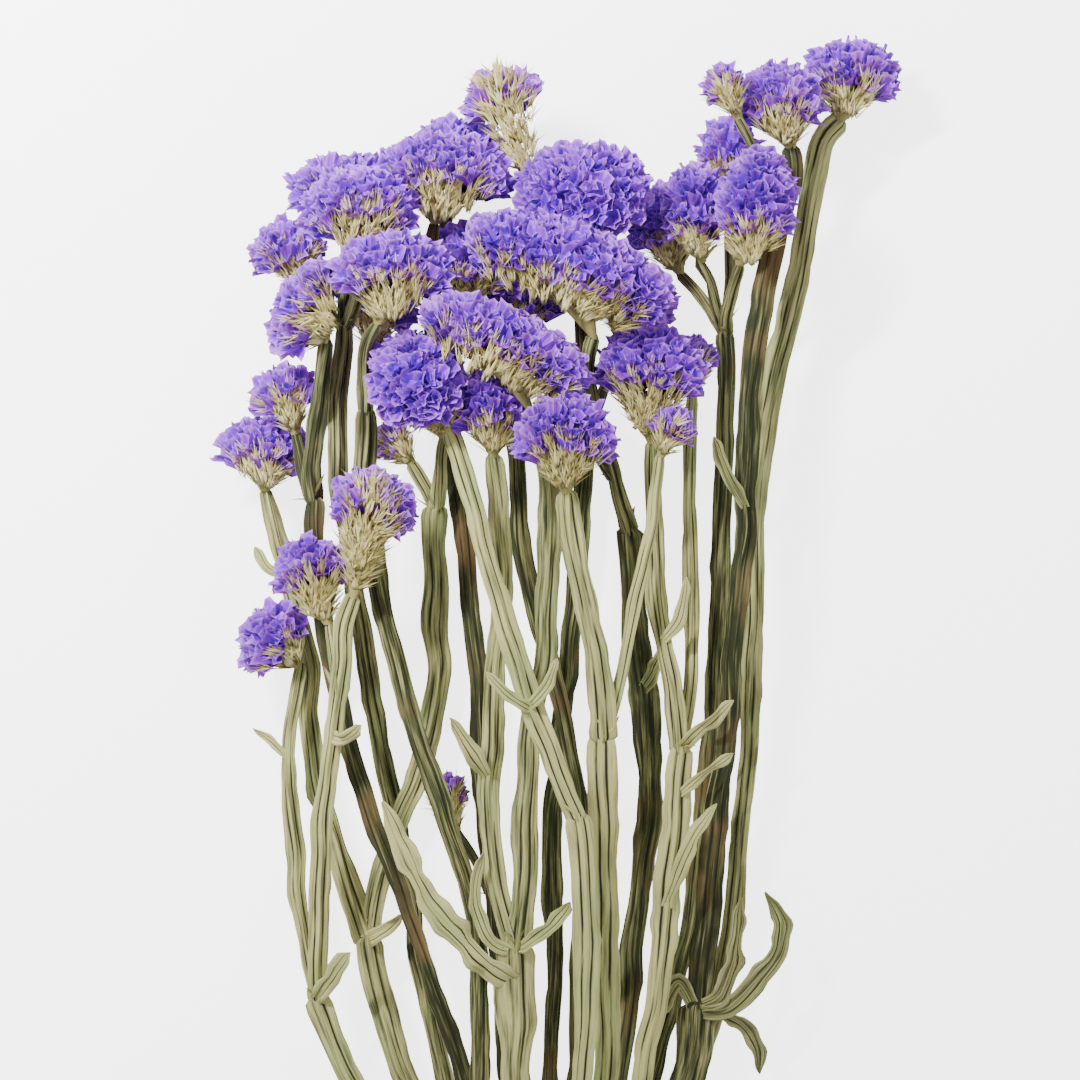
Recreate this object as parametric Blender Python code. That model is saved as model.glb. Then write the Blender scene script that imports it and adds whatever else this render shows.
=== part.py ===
"""Dried statice: a bunch of winged stems with papery violet heads, lying on a surface.

Lengths in the tables are millimetres. X runs across the bunch, Y from the cut ends to the tips,
Z is the height above the surface. Everything is scaled to metres once, when a mesh is made.
"""

import math

import bmesh
import bpy
import numpy as np

MM = 0.001

# Driving dimensions of the plant: stem core, wings, leaves, florets and cups.
CORE_R = 1.15
RIDGE_SHARE = 0.42
BELLY = 1.25
WING_WAVE = 0.14
LEAF_THICK = 0.9
STATION = 24.0
GAP = 0.3
FLORET_SHARE = 105.93
MOST_FLORETS = 54
CUP_FOOT_R = 1.7
RIM_NOTCH = 2.2
BRANCH_SINK = 2.5
FOOT_SINK = 1.2
EDGE_HALF = 0.35
WAVED_ABOVE = 5.4

# The tie that holds the cut ends.
TIE_Y = 45.0
TIE_TURNS = 3
CORD_D = 2.2
TIE_HALF_X = 14.0
TIE_HALF_Z = 8.1
TIE_MIDDLE = 9.85
TIE_SQUARE = 0.5
TIE_SEGMENTS = 24

# Below this Y the stems keep one span and straight edges.
PINNED_BELOW = 62.0

# Each stem: its wing span, then its limbs. A limb is (parent limb, parent point, span at start,
# span at end, points); the first limb has no parent and starts at the cut end.
STEMS = {
    "stem_left_outer": [
        (None, 0, 5.6, 8.5, [(-9.3, 0, 11.5), (-9.3, 50, 11.5), (-25, 85, 22), (-44, 112, 24),
                             (-58, 130, 24), (-65, 147, 24), (-68, 154, 24)]),
        (0, 6, 6.0, 4.2, [(-68, 154, 24), (-71, 172, 23), (-74, 195, 22), (-76.5, 218, 22),
                          (-76, 234, 22), (-74, 248, 22), (-72.5, 255, 22)]),
        (0, 6, 6.5, 5.5, [(-68, 154, 24), (-67, 175, 28), (-65.5, 200, 33), (-63.5, 225, 38),
                          (-60, 248, 43), (-57.5, 264, 45), (-55.5, 276, 45)]),
        (2, 4, 4.0, 3.4, [(-60, 248, 43), (-62, 260, 42), (-63.5, 268, 41)]),
    ],
    "stem_left_low": [
        (None, 0, 5.6, 9.0, [(-9.3, 0, 7.75), (-9.3, 50, 7.75), (-24, 85, 11), (-35, 112, 11),
                             (-42, 130, 11), (-48, 150, 11), (-53, 171, 11)]),
        (0, 6, 8.0, 5.0, [(-53, 171, 11), (-58, 184, 11), (-63, 201, 11), (-68, 217, 11),
                          (-70, 236, 11), (-70.5, 256, 12), (-76, 278, 15), (-81, 295, 17),
                          (-84, 308, 18)]),
        (0, 6, 6.0, 8.0, [(-53, 171, 11), (-49, 190, 11), (-42, 208, 11), (-36, 224, 10),
                          (-32.5, 242, 10), (-31.5, 262, 11), (-31.5, 285, 14), (-32, 303, 18)]),
        (2, 7, 5.0, 4.0, [(-32, 303, 18), (-36, 310, 20), (-39, 316, 22)]),
        (2, 7, 5.0, 4.0, [(-32, 303, 18), (-30, 314, 24), (-29, 324, 30)]),
    ],
    "stem_left_dark": [
        (None, 0, 5.6, 6.0, [(-3.1, 0, 11.5), (-3.1, 50, 11.5), (-12.5, 85, 14), (-20, 115, 17.5),
                             (-26, 138, 19), (-34, 162, 23), (-42, 185, 25), (-50, 206, 26),
                             (-57, 228, 27), (-62, 250, 28), (-66.5, 280, 30), (-68, 305, 34)]),
        (0, 11, 6.0, 5.0, [(-68, 305, 34), (-67.5, 320, 39), (-65.5, 334, 43), (-63, 352, 44)]),
        (0, 11, 4.0, 3.4, [(-68, 305, 34), (-72, 316, 30), (-74, 325, 27)]),
    ],
    "stem_smooth_inner": [
        (None, 0, 5.6, 6.4, [(-9.3, 0, 15.25), (-9.3, 50, 15.25), (-13.5, 85, 25), (-18, 115, 30),
                             (-18, 140, 35), (-18, 168, 36), (-22.5, 190, 37), (-28.5, 208, 38),
                             (-34.5, 226, 38), (-40.5, 245, 36), (-46, 266, 33), (-50, 290, 31),
                             (-53, 312, 33), (-52, 332, 37)]),
        (0, 13, 5.0, 4.0, [(-52, 332, 37), (-52, 346, 43), (-47.5, 357, 49)]),
        (0, 13, 4.5, 4.0, [(-52, 332, 37), (-53, 342, 27), (-51, 350, 20)]),
    ],
    "stem_smooth_outer": [
        (None, 0, 5.6, 6.4, [(-9.3, 0, 4), (-9.3, 50, 4), (-18, 85, 5), (-26, 112, 5.5),
                             (-32, 138, 5.5), (-37, 165, 6), (-41, 188, 5), (-44, 206, 5),
                             (-48, 226, 6), (-52, 246, 9), (-55, 266, 13), (-58, 290, 17),
                             (-61, 315, 20), (-60.5, 340, 24), (-58, 358, 28)]),
        (0, 14, 5.0, 4.0, [(-58, 358, 28), (-54, 368, 36), (-51, 376, 41)]),
        (0, 14, 4.2, 3.4, [(-58, 358, 28), (-65, 363, 25), (-71, 368, 22)]),
        (0, 14, 4.6, 3.8, [(-58, 358, 28), (-59, 374, 22), (-58, 389, 19)]),
    ],
    "stem_broad_centre": [
        (None, 0, 5.6, 13.0, [(-3.1, 0, 15.25), (-3.1, 50, 15.25), (-5, 85, 26), (-6.5, 112, 33),
                              (-7, 135, 37), (-7, 155, 39), (-7, 171, 40)]),
        (0, 6, 7.0, 6.0, [(-7, 171, 40), (-12, 186, 39), (-14.5, 204, 37), (-15, 224, 35),
                          (-14, 244, 33), (-12, 264, 32), (-11, 288, 34), (-12, 304, 35),
                              (-14, 318, 38)]),
        (0, 6, 8.0, 6.0, [(-7, 171, 40), (-4.5, 190, 41), (-4, 212, 42), (-2, 236, 42),
                          (1, 258, 41), (2, 282, 40), (2.5, 304, 40), (0, 320, 44),
                              (-3, 331, 49)]),
    ],
    "stem_bright_left": [
        (None, 0, 5.6, 8.5, [(3.1, 0, 15.25), (3.1, 50, 15.25), (5, 85, 30), (10, 112, 37), (13, 135, 42),
                             (14, 160, 46), (13, 188, 49), (11.5, 211, 50)]),
        (0, 7, 7.5, 6.0, [(11.5, 211, 50), (4, 227, 51), (-4, 247, 51), (-9, 264, 50),
                          (-14.5, 283, 49), (-20, 302, 47), (-25, 318, 45), (-28, 326, 44)]),
    ],
    "stem_bright_right": [
        (None, 0, 5.6, 9.5, [(9.3, 0, 15.25), (9.3, 50, 15.25), (12, 85, 26), (17, 112, 30),
                             (20, 135, 32), (20, 160, 34), (19.5, 190, 36), (19, 216, 37),
                             (19, 234, 38)]),
        (0, 8, 8.5, 7.0, [(19, 234, 38), (17.5, 255, 43), (14, 274, 47), (10.5, 291, 51),
                          (7.5, 307, 54)]),
        (0, 8, 4.2, 3.6, [(19, 234, 38), (23, 246, 39), (27, 266, 42), (31, 286, 44),
                          (34, 303, 45), (36, 318, 44)]),
    ],
    "stem_right_wide": [
        (None, 0, 5.6, 10.0, [(3.1, 0, 11.5), (3.1, 50, 11.5), (13, 85, 15), (21, 112, 14),
                              (25, 138, 13), (28, 165, 12), (31, 190, 11), (33, 214, 11),
                              (32, 238, 12), (29.5, 260, 15), (28, 280, 19), (27, 296, 23)]),
        (0, 11, 6.0, 4.2, [(27, 296, 23), (22, 312, 28), (17, 328, 34), (14.5, 342, 41),
                           (16, 353, 48)]),
        (1, 1, 3.8, 3.4, [(22, 312, 28), (15, 322, 28), (10, 332, 29)]),
    ],
    "stem_right_forked": [
        (None, 0, 5.6, 9.0, [(9.3, 0, 11.5), (9.3, 50, 11.5), (19, 85, 22), (27, 112, 27),
                             (32, 140, 30), (36, 165, 31), (39, 190, 31), (41, 212, 31),
                             (42, 230, 31)]),
        (0, 8, 7.0, 5.0, [(42, 230, 31), (40, 246, 32), (37, 262, 32), (34.5, 284, 32),
                          (33.5, 304, 34), (33.5, 322, 37)]),
        (0, 8, 4.6, 4.2, [(42, 230, 31), (45.5, 248, 25), (46, 270, 22), (45.5, 295, 21),
                          (45, 318, 22), (45.5, 337, 24)]),
    ],
    "stem_right_leafy": [
        (None, 0, 5.6, 13.0, [(9.3, 0, 7.75), (9.3, 50, 7.75), (25, 85, 14), (37, 110, 17),
                              (45, 130, 18), (48, 151, 18)]),
        (0, 5, 8.0, 6.0, [(48, 151, 18), (50.5, 175, 20), (53, 200, 23), (56, 226, 26),
                          (58, 250, 29), (60, 276, 32), (61.5, 302, 34), (63.5, 330, 35),
                          (67, 362, 34), (73, 388, 32), (76.5, 402, 30), (75.5, 411, 29)]),
        (1, 9, 3.4, 3.0, [(73, 388, 32), (66, 404, 37), (59, 419, 40)]),
    ],
    "stem_right_tall": [
        (None, 0, 5.6, 7.5, [(9.3, 0, 4), (9.3, 50, 4), (24, 85, 7), (38, 112, 8),
                             (50, 138, 9), (57, 165, 10), (60, 190, 12), (62.5, 216, 14),
                             (64, 242, 16), (64.5, 270, 17), (66, 300, 18), (68.5, 325, 19),
                             (74, 352, 19), (79.5, 378, 19), (83, 398, 18), (86, 413, 17),
                             (92, 420, 16)]),
    ],
    "stem_right_group": [
        (None, 0, 5.6, 6.5, [(3.1, 0, 4), (3.1, 50, 4), (16, 85, 3.5), (28, 112, 3.5),
                             (38, 138, 3.5), (44, 165, 3.5), (48, 192, 3.8), (51, 220, 5),
                             (53.5, 248, 8), (55, 276, 11), (56, 304, 13), (56.5, 330, 15),
                             (56.5, 356, 18)]),
        (0, 12, 4.0, 3.4, [(56.5, 356, 18), (52, 367, 22), (48.5, 377, 26)]),
        (0, 12, 4.4, 3.4, [(56.5, 356, 18), (57.5, 366, 28), (60, 375, 38)]),
        (0, 12, 4.0, 3.2, [(56.5, 356, 18), (49, 366, 14), (42, 374, 12)]),
        (0, 12, 4.0, 3.2, [(56.5, 356, 18), (58, 380, 15), (58, 401, 13)]),
    ],
    "stem_back_centre": [
        (None, 0, 5.6, 6.0, [(-3.1, 0, 4), (-3.1, 50, 4), (0, 85, 3.6), (3, 120, 3.6),
                             (4, 160, 3.6), (4, 200, 3.8), (7, 240, 4.5), (10, 270, 6),
                             (12.5, 300, 8), (13.5, 325, 10)]),
        (0, 9, 4.6, 4.0, [(13.5, 325, 10), (14, 345, 17), (13, 365, 25), (12.5, 384, 32)]),
        (0, 9, 4.6, 3.8, [(13.5, 325, 10), (13, 348, 11), (11, 370, 14), (4, 388, 21),
                          (-5.5, 404, 28), (-11, 418, 31)]),
        (0, 9, 4.0, 3.4, [(13.5, 325, 10), (20, 340, 10), (24, 354, 11)]),
    ],
    "stem_back_left": [
        (None, 0, 5.6, 6.0, [(-3.1, 0, 7.75), (-3.1, 50, 7.75), (-6, 85, 10.5), (-9, 120, 16),
                             (-11.5, 150, 18), (-14, 185, 18), (-17, 215, 17), (-19, 245, 15),
                             (-21, 270, 13), (-23.5, 295, 11.5), (-26.5, 318, 12), (-31, 342, 14)]),
        (0, 11, 4.6, 3.8, [(-31, 342, 14), (-33, 358, 20), (-33, 374, 28), (-31.5, 388, 34)]),
        (0, 11, 4.2, 3.4, [(-31, 342, 14), (-27, 356, 17), (-24, 366, 21)]),
        (1, 1, 4.0, 3.4, [(-33, 358, 20), (-31, 378, 18), (-26, 399, 17)]),
        (0, 5, 3.6, 3.0, [(-14, 185, 18), (-20, 195, 14), (-26, 204, 12)]),
    ],
    "stem_under": [
        (None, 0, 5.6, 6.0, [(3.1, 0, 7.75), (3.1, 50, 7.75), (8, 85, 10), (10, 120, 9.5),
                             (12, 160, 9.5), (13, 200, 9), (7, 236, 12), (0, 265, 11),
                             (-5, 290, 10), (-7, 312, 9), (-7, 330, 9)]),
        (0, 10, 4.2, 3.6, [(-7, 330, 9), (-6, 345, 10), (-4, 356, 11)]),
        (0, 10, 4.2, 3.6, [(-7, 330, 9), (-12, 338, 10), (-15, 346, 12)]),
    ],
}

# Each leaf: its stem, its greatest width, and points from the stem to the tip.
LEAVES = [
    ("stem_left_outer", 5.0, [(-68, 153, 24.5), (-63, 160, 29), (-57, 168, 32)]),
    ("stem_left_outer", 2.6, [(-76.5, 226, 22), (-81, 231, 22), (-87, 235, 21)]),
    ("stem_left_outer", 4.0, [(-62, 233, 40.5), (-58, 233, 47), (-53, 237, 50)]),
    ("stem_left_low", 4.0, [(-53, 170, 11), (-48, 173, 15.5), (-42, 178, 16)]),
    ("stem_left_low", 3.4, [(-77, 281, 15.5), (-83, 283, 14), (-87, 290, 12)]),
    ("stem_broad_centre", 7.5, [(-7.5, 160, 39), (-14, 164, 44), (-24, 174, 46), (-33, 185, 46.5),
                                (-39, 197, 46), (-43.5, 207, 44.5), (-47, 214, 42)]),
    ("stem_broad_centre", 4.2, [(-8, 169, 40), (-15, 173, 42), (-19.5, 186, 43.5), (-17, 199, 42.5)]),
    ("stem_broad_centre", 4.0, [(-6, 170, 40.5), (-2, 173, 44.5), (4, 178, 46), (9, 184, 43)]),
    ("stem_broad_centre", 4.4, [(-15, 220, 35.5), (-20, 228, 42), (-27, 239, 45)]),
    ("stem_bright_left", 3.6, [(-3, 242, 51), (-9, 246, 55), (-16, 253, 55)]),
    ("stem_bright_left", 3.4, [(-3, 243, 51), (2, 249, 55.5), (5, 257, 54)]),
    ("stem_right_forked", 4.4, [(42, 229, 31), (48, 235, 34), (58, 244, 36.5)]),
    ("stem_right_forked", 3.0, [(41.5, 215, 31), (48, 221, 34), (58, 228, 34.5)]),
    ("stem_right_forked", 4.2, [(38, 182, 31), (42, 194, 36), (46.5, 203, 38), (53, 213, 37)]),
    ("stem_right_forked", 3.6, [(37, 262, 32), (42, 269, 35), (44, 281, 36)]),
    ("stem_right_leafy", 5.2, [(48, 150, 18.5), (55, 154, 22), (59, 166, 24), (61, 184, 24)]),
    ("stem_right_leafy", 6.0, [(48, 149, 18.5), (57, 150, 22), (65, 158, 23.5), (72, 167, 22),
                               (73.5, 177, 18), (68.5, 185, 16)]),
    ("stem_right_leafy", 5.0, [(48, 148, 18), (58, 147, 17.5), (65, 140, 15), (67, 129, 11)]),
    ("stem_right_leafy", 5.0, [(47, 150, 18), (42, 158, 21), (37, 151, 22), (31, 147, 21)]),
    ("stem_right_leafy", 4.0, [(61.5, 302, 34), (56.5, 311, 38), (52, 323, 39)]),
    ("stem_right_wide", 4.0, [(31, 246, 13), (35, 252, 17), (39, 262, 18)]),
]

# Each head: its stem and limb, the middle of its bract rim, the way it faces, its long direction
# or None, the rim's half sizes, and the dome's half sizes and height.
HEADS = {
    "head_top_spike": ("stem_back_centre", 2, (-11, 423, 31), (-0.35, 0.92, 0.12), None,
                       (9.0, 6.0), (10.5, 7.0, 9.0)),
    "head_big_dome": ("stem_back_centre", 1, (13, 394, 38), (0.0, 0.5, 0.87), None,
                      (11.0, 9.0), (18.0, 13.5, 14.0)),
    "head_back_right": ("stem_back_centre", 3, (27, 361, 12), (0.3, 0.93, 0.2), None,
                        (6.5, 6.0), (11.0, 8.5, 15.0)),
    "head_fan_left": ("stem_back_left", 1, (-29, 395, 37), (0.05, 0.98, 0.15), None,
                      (9.5, 6.5), (18.5, 9.0, 18.0)),
    "head_shaded_centre": ("stem_back_left", 2, (-20, 372, 24), (0.25, 0.92, 0.3), None,
                           (8.0, 5.5), (15.0, 8.0, 14.0)),
    "head_behind_fan": ("stem_back_left", 3, (-25, 406, 18), (0.0, 0.98, 0.15), None,
                        (6.5, 5.5), (12.5, 8.5, 13.0)),
    "head_tiny_low": ("stem_back_left", 4, (-27.5, 212, 10.5), (-0.2, 0.97, 0.0), None,
                      (3.0, 3.0), (4.5, 4.5, 8.0)),
    "head_long_upper": ("stem_right_wide", 1, (7, 367, 54), (0.33, 0.92, 0.2), (0.94, -0.34, 0.0),
                        (24.0, 5.5), (30.0, 8.0, 18.0)),
    "head_small_front": ("stem_right_wide", 2, (9, 337, 31), (-0.2, 0.85, 0.45), None,
                         (3.0, 3.0), (4.6, 4.6, 6.0)),
    "head_long_lower": ("stem_broad_centre", 2, (-12, 345, 55), (0.42, 0.9, 0.2),
                        (-0.9, 0.42, 0.0), (19.0, 5.0), (25.0, 7.5, 15.0)),
    "head_round_centre": ("stem_broad_centre", 1, (-15, 327, 41), (-0.1, 0.95, 0.2), None,
                          (5.6, 5.0), (10.0, 7.5, 15.0)),
    "head_facing_left": ("stem_bright_left", 1, (-36, 338, 46), (-0.3, 0.45, 0.84), None,
                         (7.5, 8.5), (12.0, 14.0, 13.0)),
    "head_front": ("stem_bright_right", 1, (7.5, 317, 58), (0.0, 0.95, 0.25), None,
                   (8.0, 5.5), (13.0, 8.0, 17.0)),
    "head_small_right": ("stem_bright_right", 2, (39, 324, 46), (0.4, 0.85, 0.2), None,
                         (3.2, 3.2), (5.2, 5.0, 7.0)),
    "head_right_middle": ("stem_right_forked", 1, (32.5, 336, 40), (0.1, 0.97, 0.2), None,
                          (9.0, 6.0), (14.0, 8.5, 19.0)),
    "head_right_inner": ("stem_right_forked", 2, (46, 344, 25), (0.0, 0.97, 0.2), None,
                         (3.8, 3.8), (5.8, 5.6, 9.0)),
    "head_right_crown": ("stem_right_leafy", 1, (73, 418, 30), (-0.12, 0.97, 0.12), None,
                         (7.0, 6.0), (11.0, 9.0, 17.0)),
    "head_right_side": ("stem_right_leafy", 2, (55.5, 426, 42), (-0.4, 0.9, 0.15), None,
                        (3.2, 3.2), (5.0, 4.6, 7.0)),
    "head_right_outer": ("stem_right_tall", 0, (94, 427, 17), (0.05, 0.98, 0.1), None,
                         (7.5, 6.0), (13.0, 9.0, 16.0)),
    "head_group_left": ("stem_right_group", 1, (47, 384, 29), (-0.02, 0.97, 0.2), None,
                        (5.0, 5.0), (9.0, 7.4, 20.0)),
    "head_group_right": ("stem_right_group", 2, (63.5, 383, 44), (0.12, 0.95, 0.15), None,
                         (6.0, 5.5), (10.0, 8.0, 25.0)),
    "head_group_low": ("stem_right_group", 3, (39, 382, 10), (-0.15, 0.98, 0.05), None,
                       (5.5, 5.0), (9.0, 10.2, 18.0)),
    "head_group_back": ("stem_right_group", 4, (57.5, 406, 12), (0.0, 0.98, 0.1), None,
                        (5.0, 5.0), (7.6, 7.6, 14.0)),
    "head_left_fan": ("stem_smooth_outer", 1, (-53, 384, 43), (-0.1, 0.97, 0.12), None,
                      (8.5, 6.0), (16.0, 9.0, 18.0)),
    "head_left_edge": ("stem_smooth_outer", 2, (-75, 376, 22), (-0.3, 0.95, 0.1), None,
                       (5.5, 5.0), (9.5, 8.0, 12.0)),
    "head_left_back": ("stem_smooth_outer", 3, (-60, 395, 11.4), (-0.1, 0.98, 0.05), None,
                       (8.0, 6.0), (15.0, 11.6, 14.0)),
    "head_left_inner": ("stem_smooth_inner", 1, (-43.5, 366, 52), (0.0, 0.97, 0.15), None,
                        (8.5, 5.0), (15.5, 7.5, 16.0)),
    "head_left_shaded": ("stem_smooth_inner", 2, (-49.5, 359, 14), (0.1, 0.95, -0.2), None,
                         (4.5, 4.5), (9.5, 8.0, 15.0)),
    "head_left_spike": ("stem_left_dark", 1, (-66, 359, 45), (-0.82, 0.5, 0.1),
                        (0.5, 0.82, 0.0), (9.0, 5.0), (14.0, 7.5, 12.0)),
    "head_left_small": ("stem_left_dark", 2, (-76, 333, 28), (-0.25, 0.95, 0.1), None,
                        (4.6, 4.6), (8.0, 7.0, 11.0)),
    "head_far_left": ("stem_left_low", 1, (-83, 314, 19), (0.1, 0.98, 0.1), None,
                      (7.0, 6.0), (13.0, 8.5, 14.0)),
    "head_left_tiny": ("stem_left_low", 3, (-43, 320, 22), (-0.7, 0.7, 0.0), None,
                       (3.2, 3.2), (5.0, 5.0, 8.0)),
    "head_below_facing": ("stem_left_low", 4, (-33, 332, 27), (-0.4, 0.9, 0.0), None,
                          (4.5, 4.5), (10.0, 7.5, 17.0)),
    "head_pyramid": ("stem_left_outer", 2, (-51, 297, 46), (0.25, 0.95, 0.12), None,
                     (6.5, 6.0), (11.0, 8.5, 15.0)),
    "head_left_lobe": ("stem_left_outer", 3, (-68, 279, 41), (-0.15, 0.98, 0.1), None,
                       (6.0, 5.0), (9.5, 7.0, 13.0)),
    "head_left_round": ("stem_left_outer", 1, (-77, 259, 23), (-0.72, 0.66, 0.15), None,
                        (6.0, 5.5), (10.0, 9.0, 13.0)),
    "head_under_centre": ("stem_under", 1, (-5, 361, 12), (0.05, 0.97, 0.05), None,
                          (6.5, 6.0), (11.0, 9.0, 16.0)),
    "head_under_left": ("stem_under", 2, (-18.5, 353, 10), (-0.4, 0.9, 0.0), None,
                        (4.2, 4.2), (8.5, 7.5, 14.0)),
}

STEM_GREEN = (0.42, 0.44, 0.22)
FLORET_VIOLET = (0.2, 0.09, 0.75)
JUTE = (0.55, 0.42, 0.26)


def clear_scene():
    for item in list(bpy.data.objects):
        bpy.data.objects.remove(item, do_unlink=True)


def collection_named(name):
    made = bpy.data.collections.new(name)
    bpy.context.scene.collection.children.link(made)
    return made


def material_named(name, colour, roughness):
    made = bpy.data.materials.new(name)
    made.use_nodes = True
    shader = made.node_tree.nodes["Principled BSDF"]
    shader.inputs["Base Color"].default_value = (*colour, 1.0)
    shader.inputs["Roughness"].default_value = roughness
    made.diffuse_color = (*colour, 1.0)
    return made


def mesh_object(name, verts, faces, home):
    """A mesh object from points in millimetres, with its faces turned outward."""
    mesh = bpy.data.meshes.new(name)
    mesh.from_pydata([tuple(c * MM for c in point) for point in verts], [], faces)
    work = bmesh.new()
    work.from_mesh(mesh)
    bmesh.ops.recalc_face_normals(work, faces=work.faces)
    if work.calc_volume(signed=True) < 0:
        bmesh.ops.reverse_faces(work, faces=work.faces)
    work.to_mesh(mesh)
    work.free()
    made = bpy.data.objects.new(name, mesh)
    home.objects.link(made)
    return made


def fuse(body, others, home):
    """Unites body with the objects in others, and removes them. Both sides are closed meshes."""
    if not others:
        return
    tools = collection_named("fusing")
    for item in others:
        home.objects.unlink(item)
        tools.objects.link(item)
    union = body.modifiers.new("union", "BOOLEAN")
    union.operation = "UNION"
    union.operand_type = "COLLECTION"
    union.collection = tools
    union.solver = "EXACT"
    bpy.context.view_layer.objects.active = body
    bpy.ops.object.modifier_apply(modifier=union.name)
    for item in list(tools.objects):
        bpy.data.objects.remove(item, do_unlink=True)
    bpy.data.collections.remove(tools)


def tidy_mesh(item):
    """Keeps only the largest joined body of a mesh and makes its faces triangles."""
    work = bmesh.new()
    work.from_mesh(item.data)
    left = set(work.verts)
    bodies = []
    while left:
        grown = {left.pop()}
        edge_of = list(grown)
        while edge_of:
            here = edge_of.pop()
            for edge in here.link_edges:
                there = edge.other_vert(here)
                if there in left:
                    left.remove(there)
                    grown.add(there)
                    edge_of.append(there)
        bodies.append(grown)
    bodies.sort(key=len)
    for crumb in bodies[:-1]:
        bmesh.ops.delete(work, geom=list(crumb), context="VERTS")
    bmesh.ops.triangulate(work, faces=work.faces)
    work.to_mesh(item.data)
    work.free()


def unit(vector):
    vector = np.asarray(vector, float)
    return vector / np.linalg.norm(vector)


def smooth_route(points, straight_start, step):
    """Points about one step apart on a cubic curve through the given points."""
    knots = np.array(points, float)
    last = len(knots) - 1
    slopes = np.empty_like(knots)
    for i in range(last + 1):
        slopes[i] = (knots[min(i + 1, last)] - knots[max(i - 1, 0)]) / 2
    if straight_start:
        slopes[0] = knots[1] - knots[0]
        slopes[1] = (knots[1] - knots[0]) * 0.8
    route = []
    places = []
    for i in range(last):
        chord = knots[i + 1] - knots[i]
        count = max(1, round(np.linalg.norm(chord) / step))
        for k in range(count):
            t = k / count
            h00 = 2 * t**3 - 3 * t**2 + 1
            h10 = t**3 - 2 * t**2 + t
            h01 = -2 * t**3 + 3 * t**2
            h11 = t**3 - t**2
            route.append(h00 * knots[i] + h10 * slopes[i] + h01 * knots[i + 1] + h11 * slopes[i + 1])
            places.append((i + t) / last)
    route.append(knots[last])
    places.append(1.0)
    return np.array(route), np.array(places)


def frames_along(route):
    """For each point of a route: its side and up directions."""
    forward = np.gradient(route, axis=0)
    forward /= np.linalg.norm(forward, axis=1)[:, None]
    side = np.cross(forward, [0.0, 0.0, 1.0])
    side /= np.linalg.norm(side, axis=1)[:, None]
    return side, np.cross(side, forward)


def loft(rings, peak=None):
    """Vertices and faces of a closed tube through rings of equal length, or up to a peak point."""
    count = len(rings[0])
    verts = [tuple(point) for ring in rings for point in ring]
    faces = [tuple(range(count))]
    for level in range(len(rings) - 1):
        low = level * count
        for k in range(count):
            after = (k + 1) % count
            faces.append((low + k, low + after, low + count + after))
            faces.append((low + k, low + count + after, low + count + k))
    top = (len(rings) - 1) * count
    if peak is None:
        faces.append(tuple(range(top + count - 1, top - 1, -1)))
        return verts, faces
    verts.append(tuple(peak))
    for k in range(count):
        faces.append((top + k, top + (k + 1) % count, len(verts) - 1))
    return verts, faces


def stem_rings(points, span_start, span_end, straight_start, phase):
    """A winged stem: two flat side wings with wavy edges, a ridge above and a belly below."""
    route, places = smooth_route(points, straight_start, STATION)
    side, up = frames_along(route)
    rings = []
    for i, centre in enumerate(route):
        span = span_start + (span_end - span_start) * places[i]
        wave = WING_WAVE if span > WAVED_ABOVE else 0.0
        if straight_start and centre[1] < PINNED_BELOW:
            span = span_start
            wave = 0.0
        half = span / 2
        right = half * (1 + wave * math.sin(1.9 * i + phase))
        left = half * (1 + wave * math.sin(2.3 * i + 2.0 * phase))
        ridge = CORE_R + RIDGE_SHARE * max(half - CORE_R, 0.0)
        ring = [
            centre + side[i] * right + up[i] * EDGE_HALF,
            centre + up[i] * ridge,
            centre - side[i] * left + up[i] * EDGE_HALF,
            centre - side[i] * left - up[i] * EDGE_HALF,
            centre - up[i] * CORE_R * BELLY,
            centre + side[i] * right - up[i] * EDGE_HALF,
        ]
        rings.append(ring)
    return rings


def leaf_rings(points, width):
    """A strap leaf: widest past its middle, closing to a blunt tip, a little folded."""
    route, places = smooth_route(points, False, 8.5)
    side, up = frames_along(route)
    rings = []
    for i, centre in enumerate(route):
        t = places[i]
        half = 0.5 * width * (0.45 + 0.55 * math.sin(math.pi * min(t * 0.85 + 0.1, 1.0)))
        if t > 0.99:
            half = 0.5
        fold = 0.25 * half
        ring = [
            centre + side[i] * half + up[i] * (fold + LEAF_THICK / 2),
            centre + up[i] * LEAF_THICK / 2,
            centre - side[i] * half + up[i] * (fold + LEAF_THICK / 2),
            centre - side[i] * half + up[i] * (fold - LEAF_THICK / 2),
            centre - up[i] * LEAF_THICK / 2,
            centre + side[i] * half + up[i] * (fold - LEAF_THICK / 2),
        ]
        rings.append(ring)
    return rings


def head_axes(facing, long_way):
    """The unit directions of a head: along its length, across it, and out of it."""
    out = unit(facing)
    if long_way is None:
        along = np.cross(out, [0.0, 0.0, 1.0])
        if np.linalg.norm(along) < 0.3:
            along = np.array([1.0, 0.0, 0.0])
    else:
        along = np.array(long_way, float)
    along = unit(along - out * (along @ out))
    return along, np.cross(out, along), out


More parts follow.
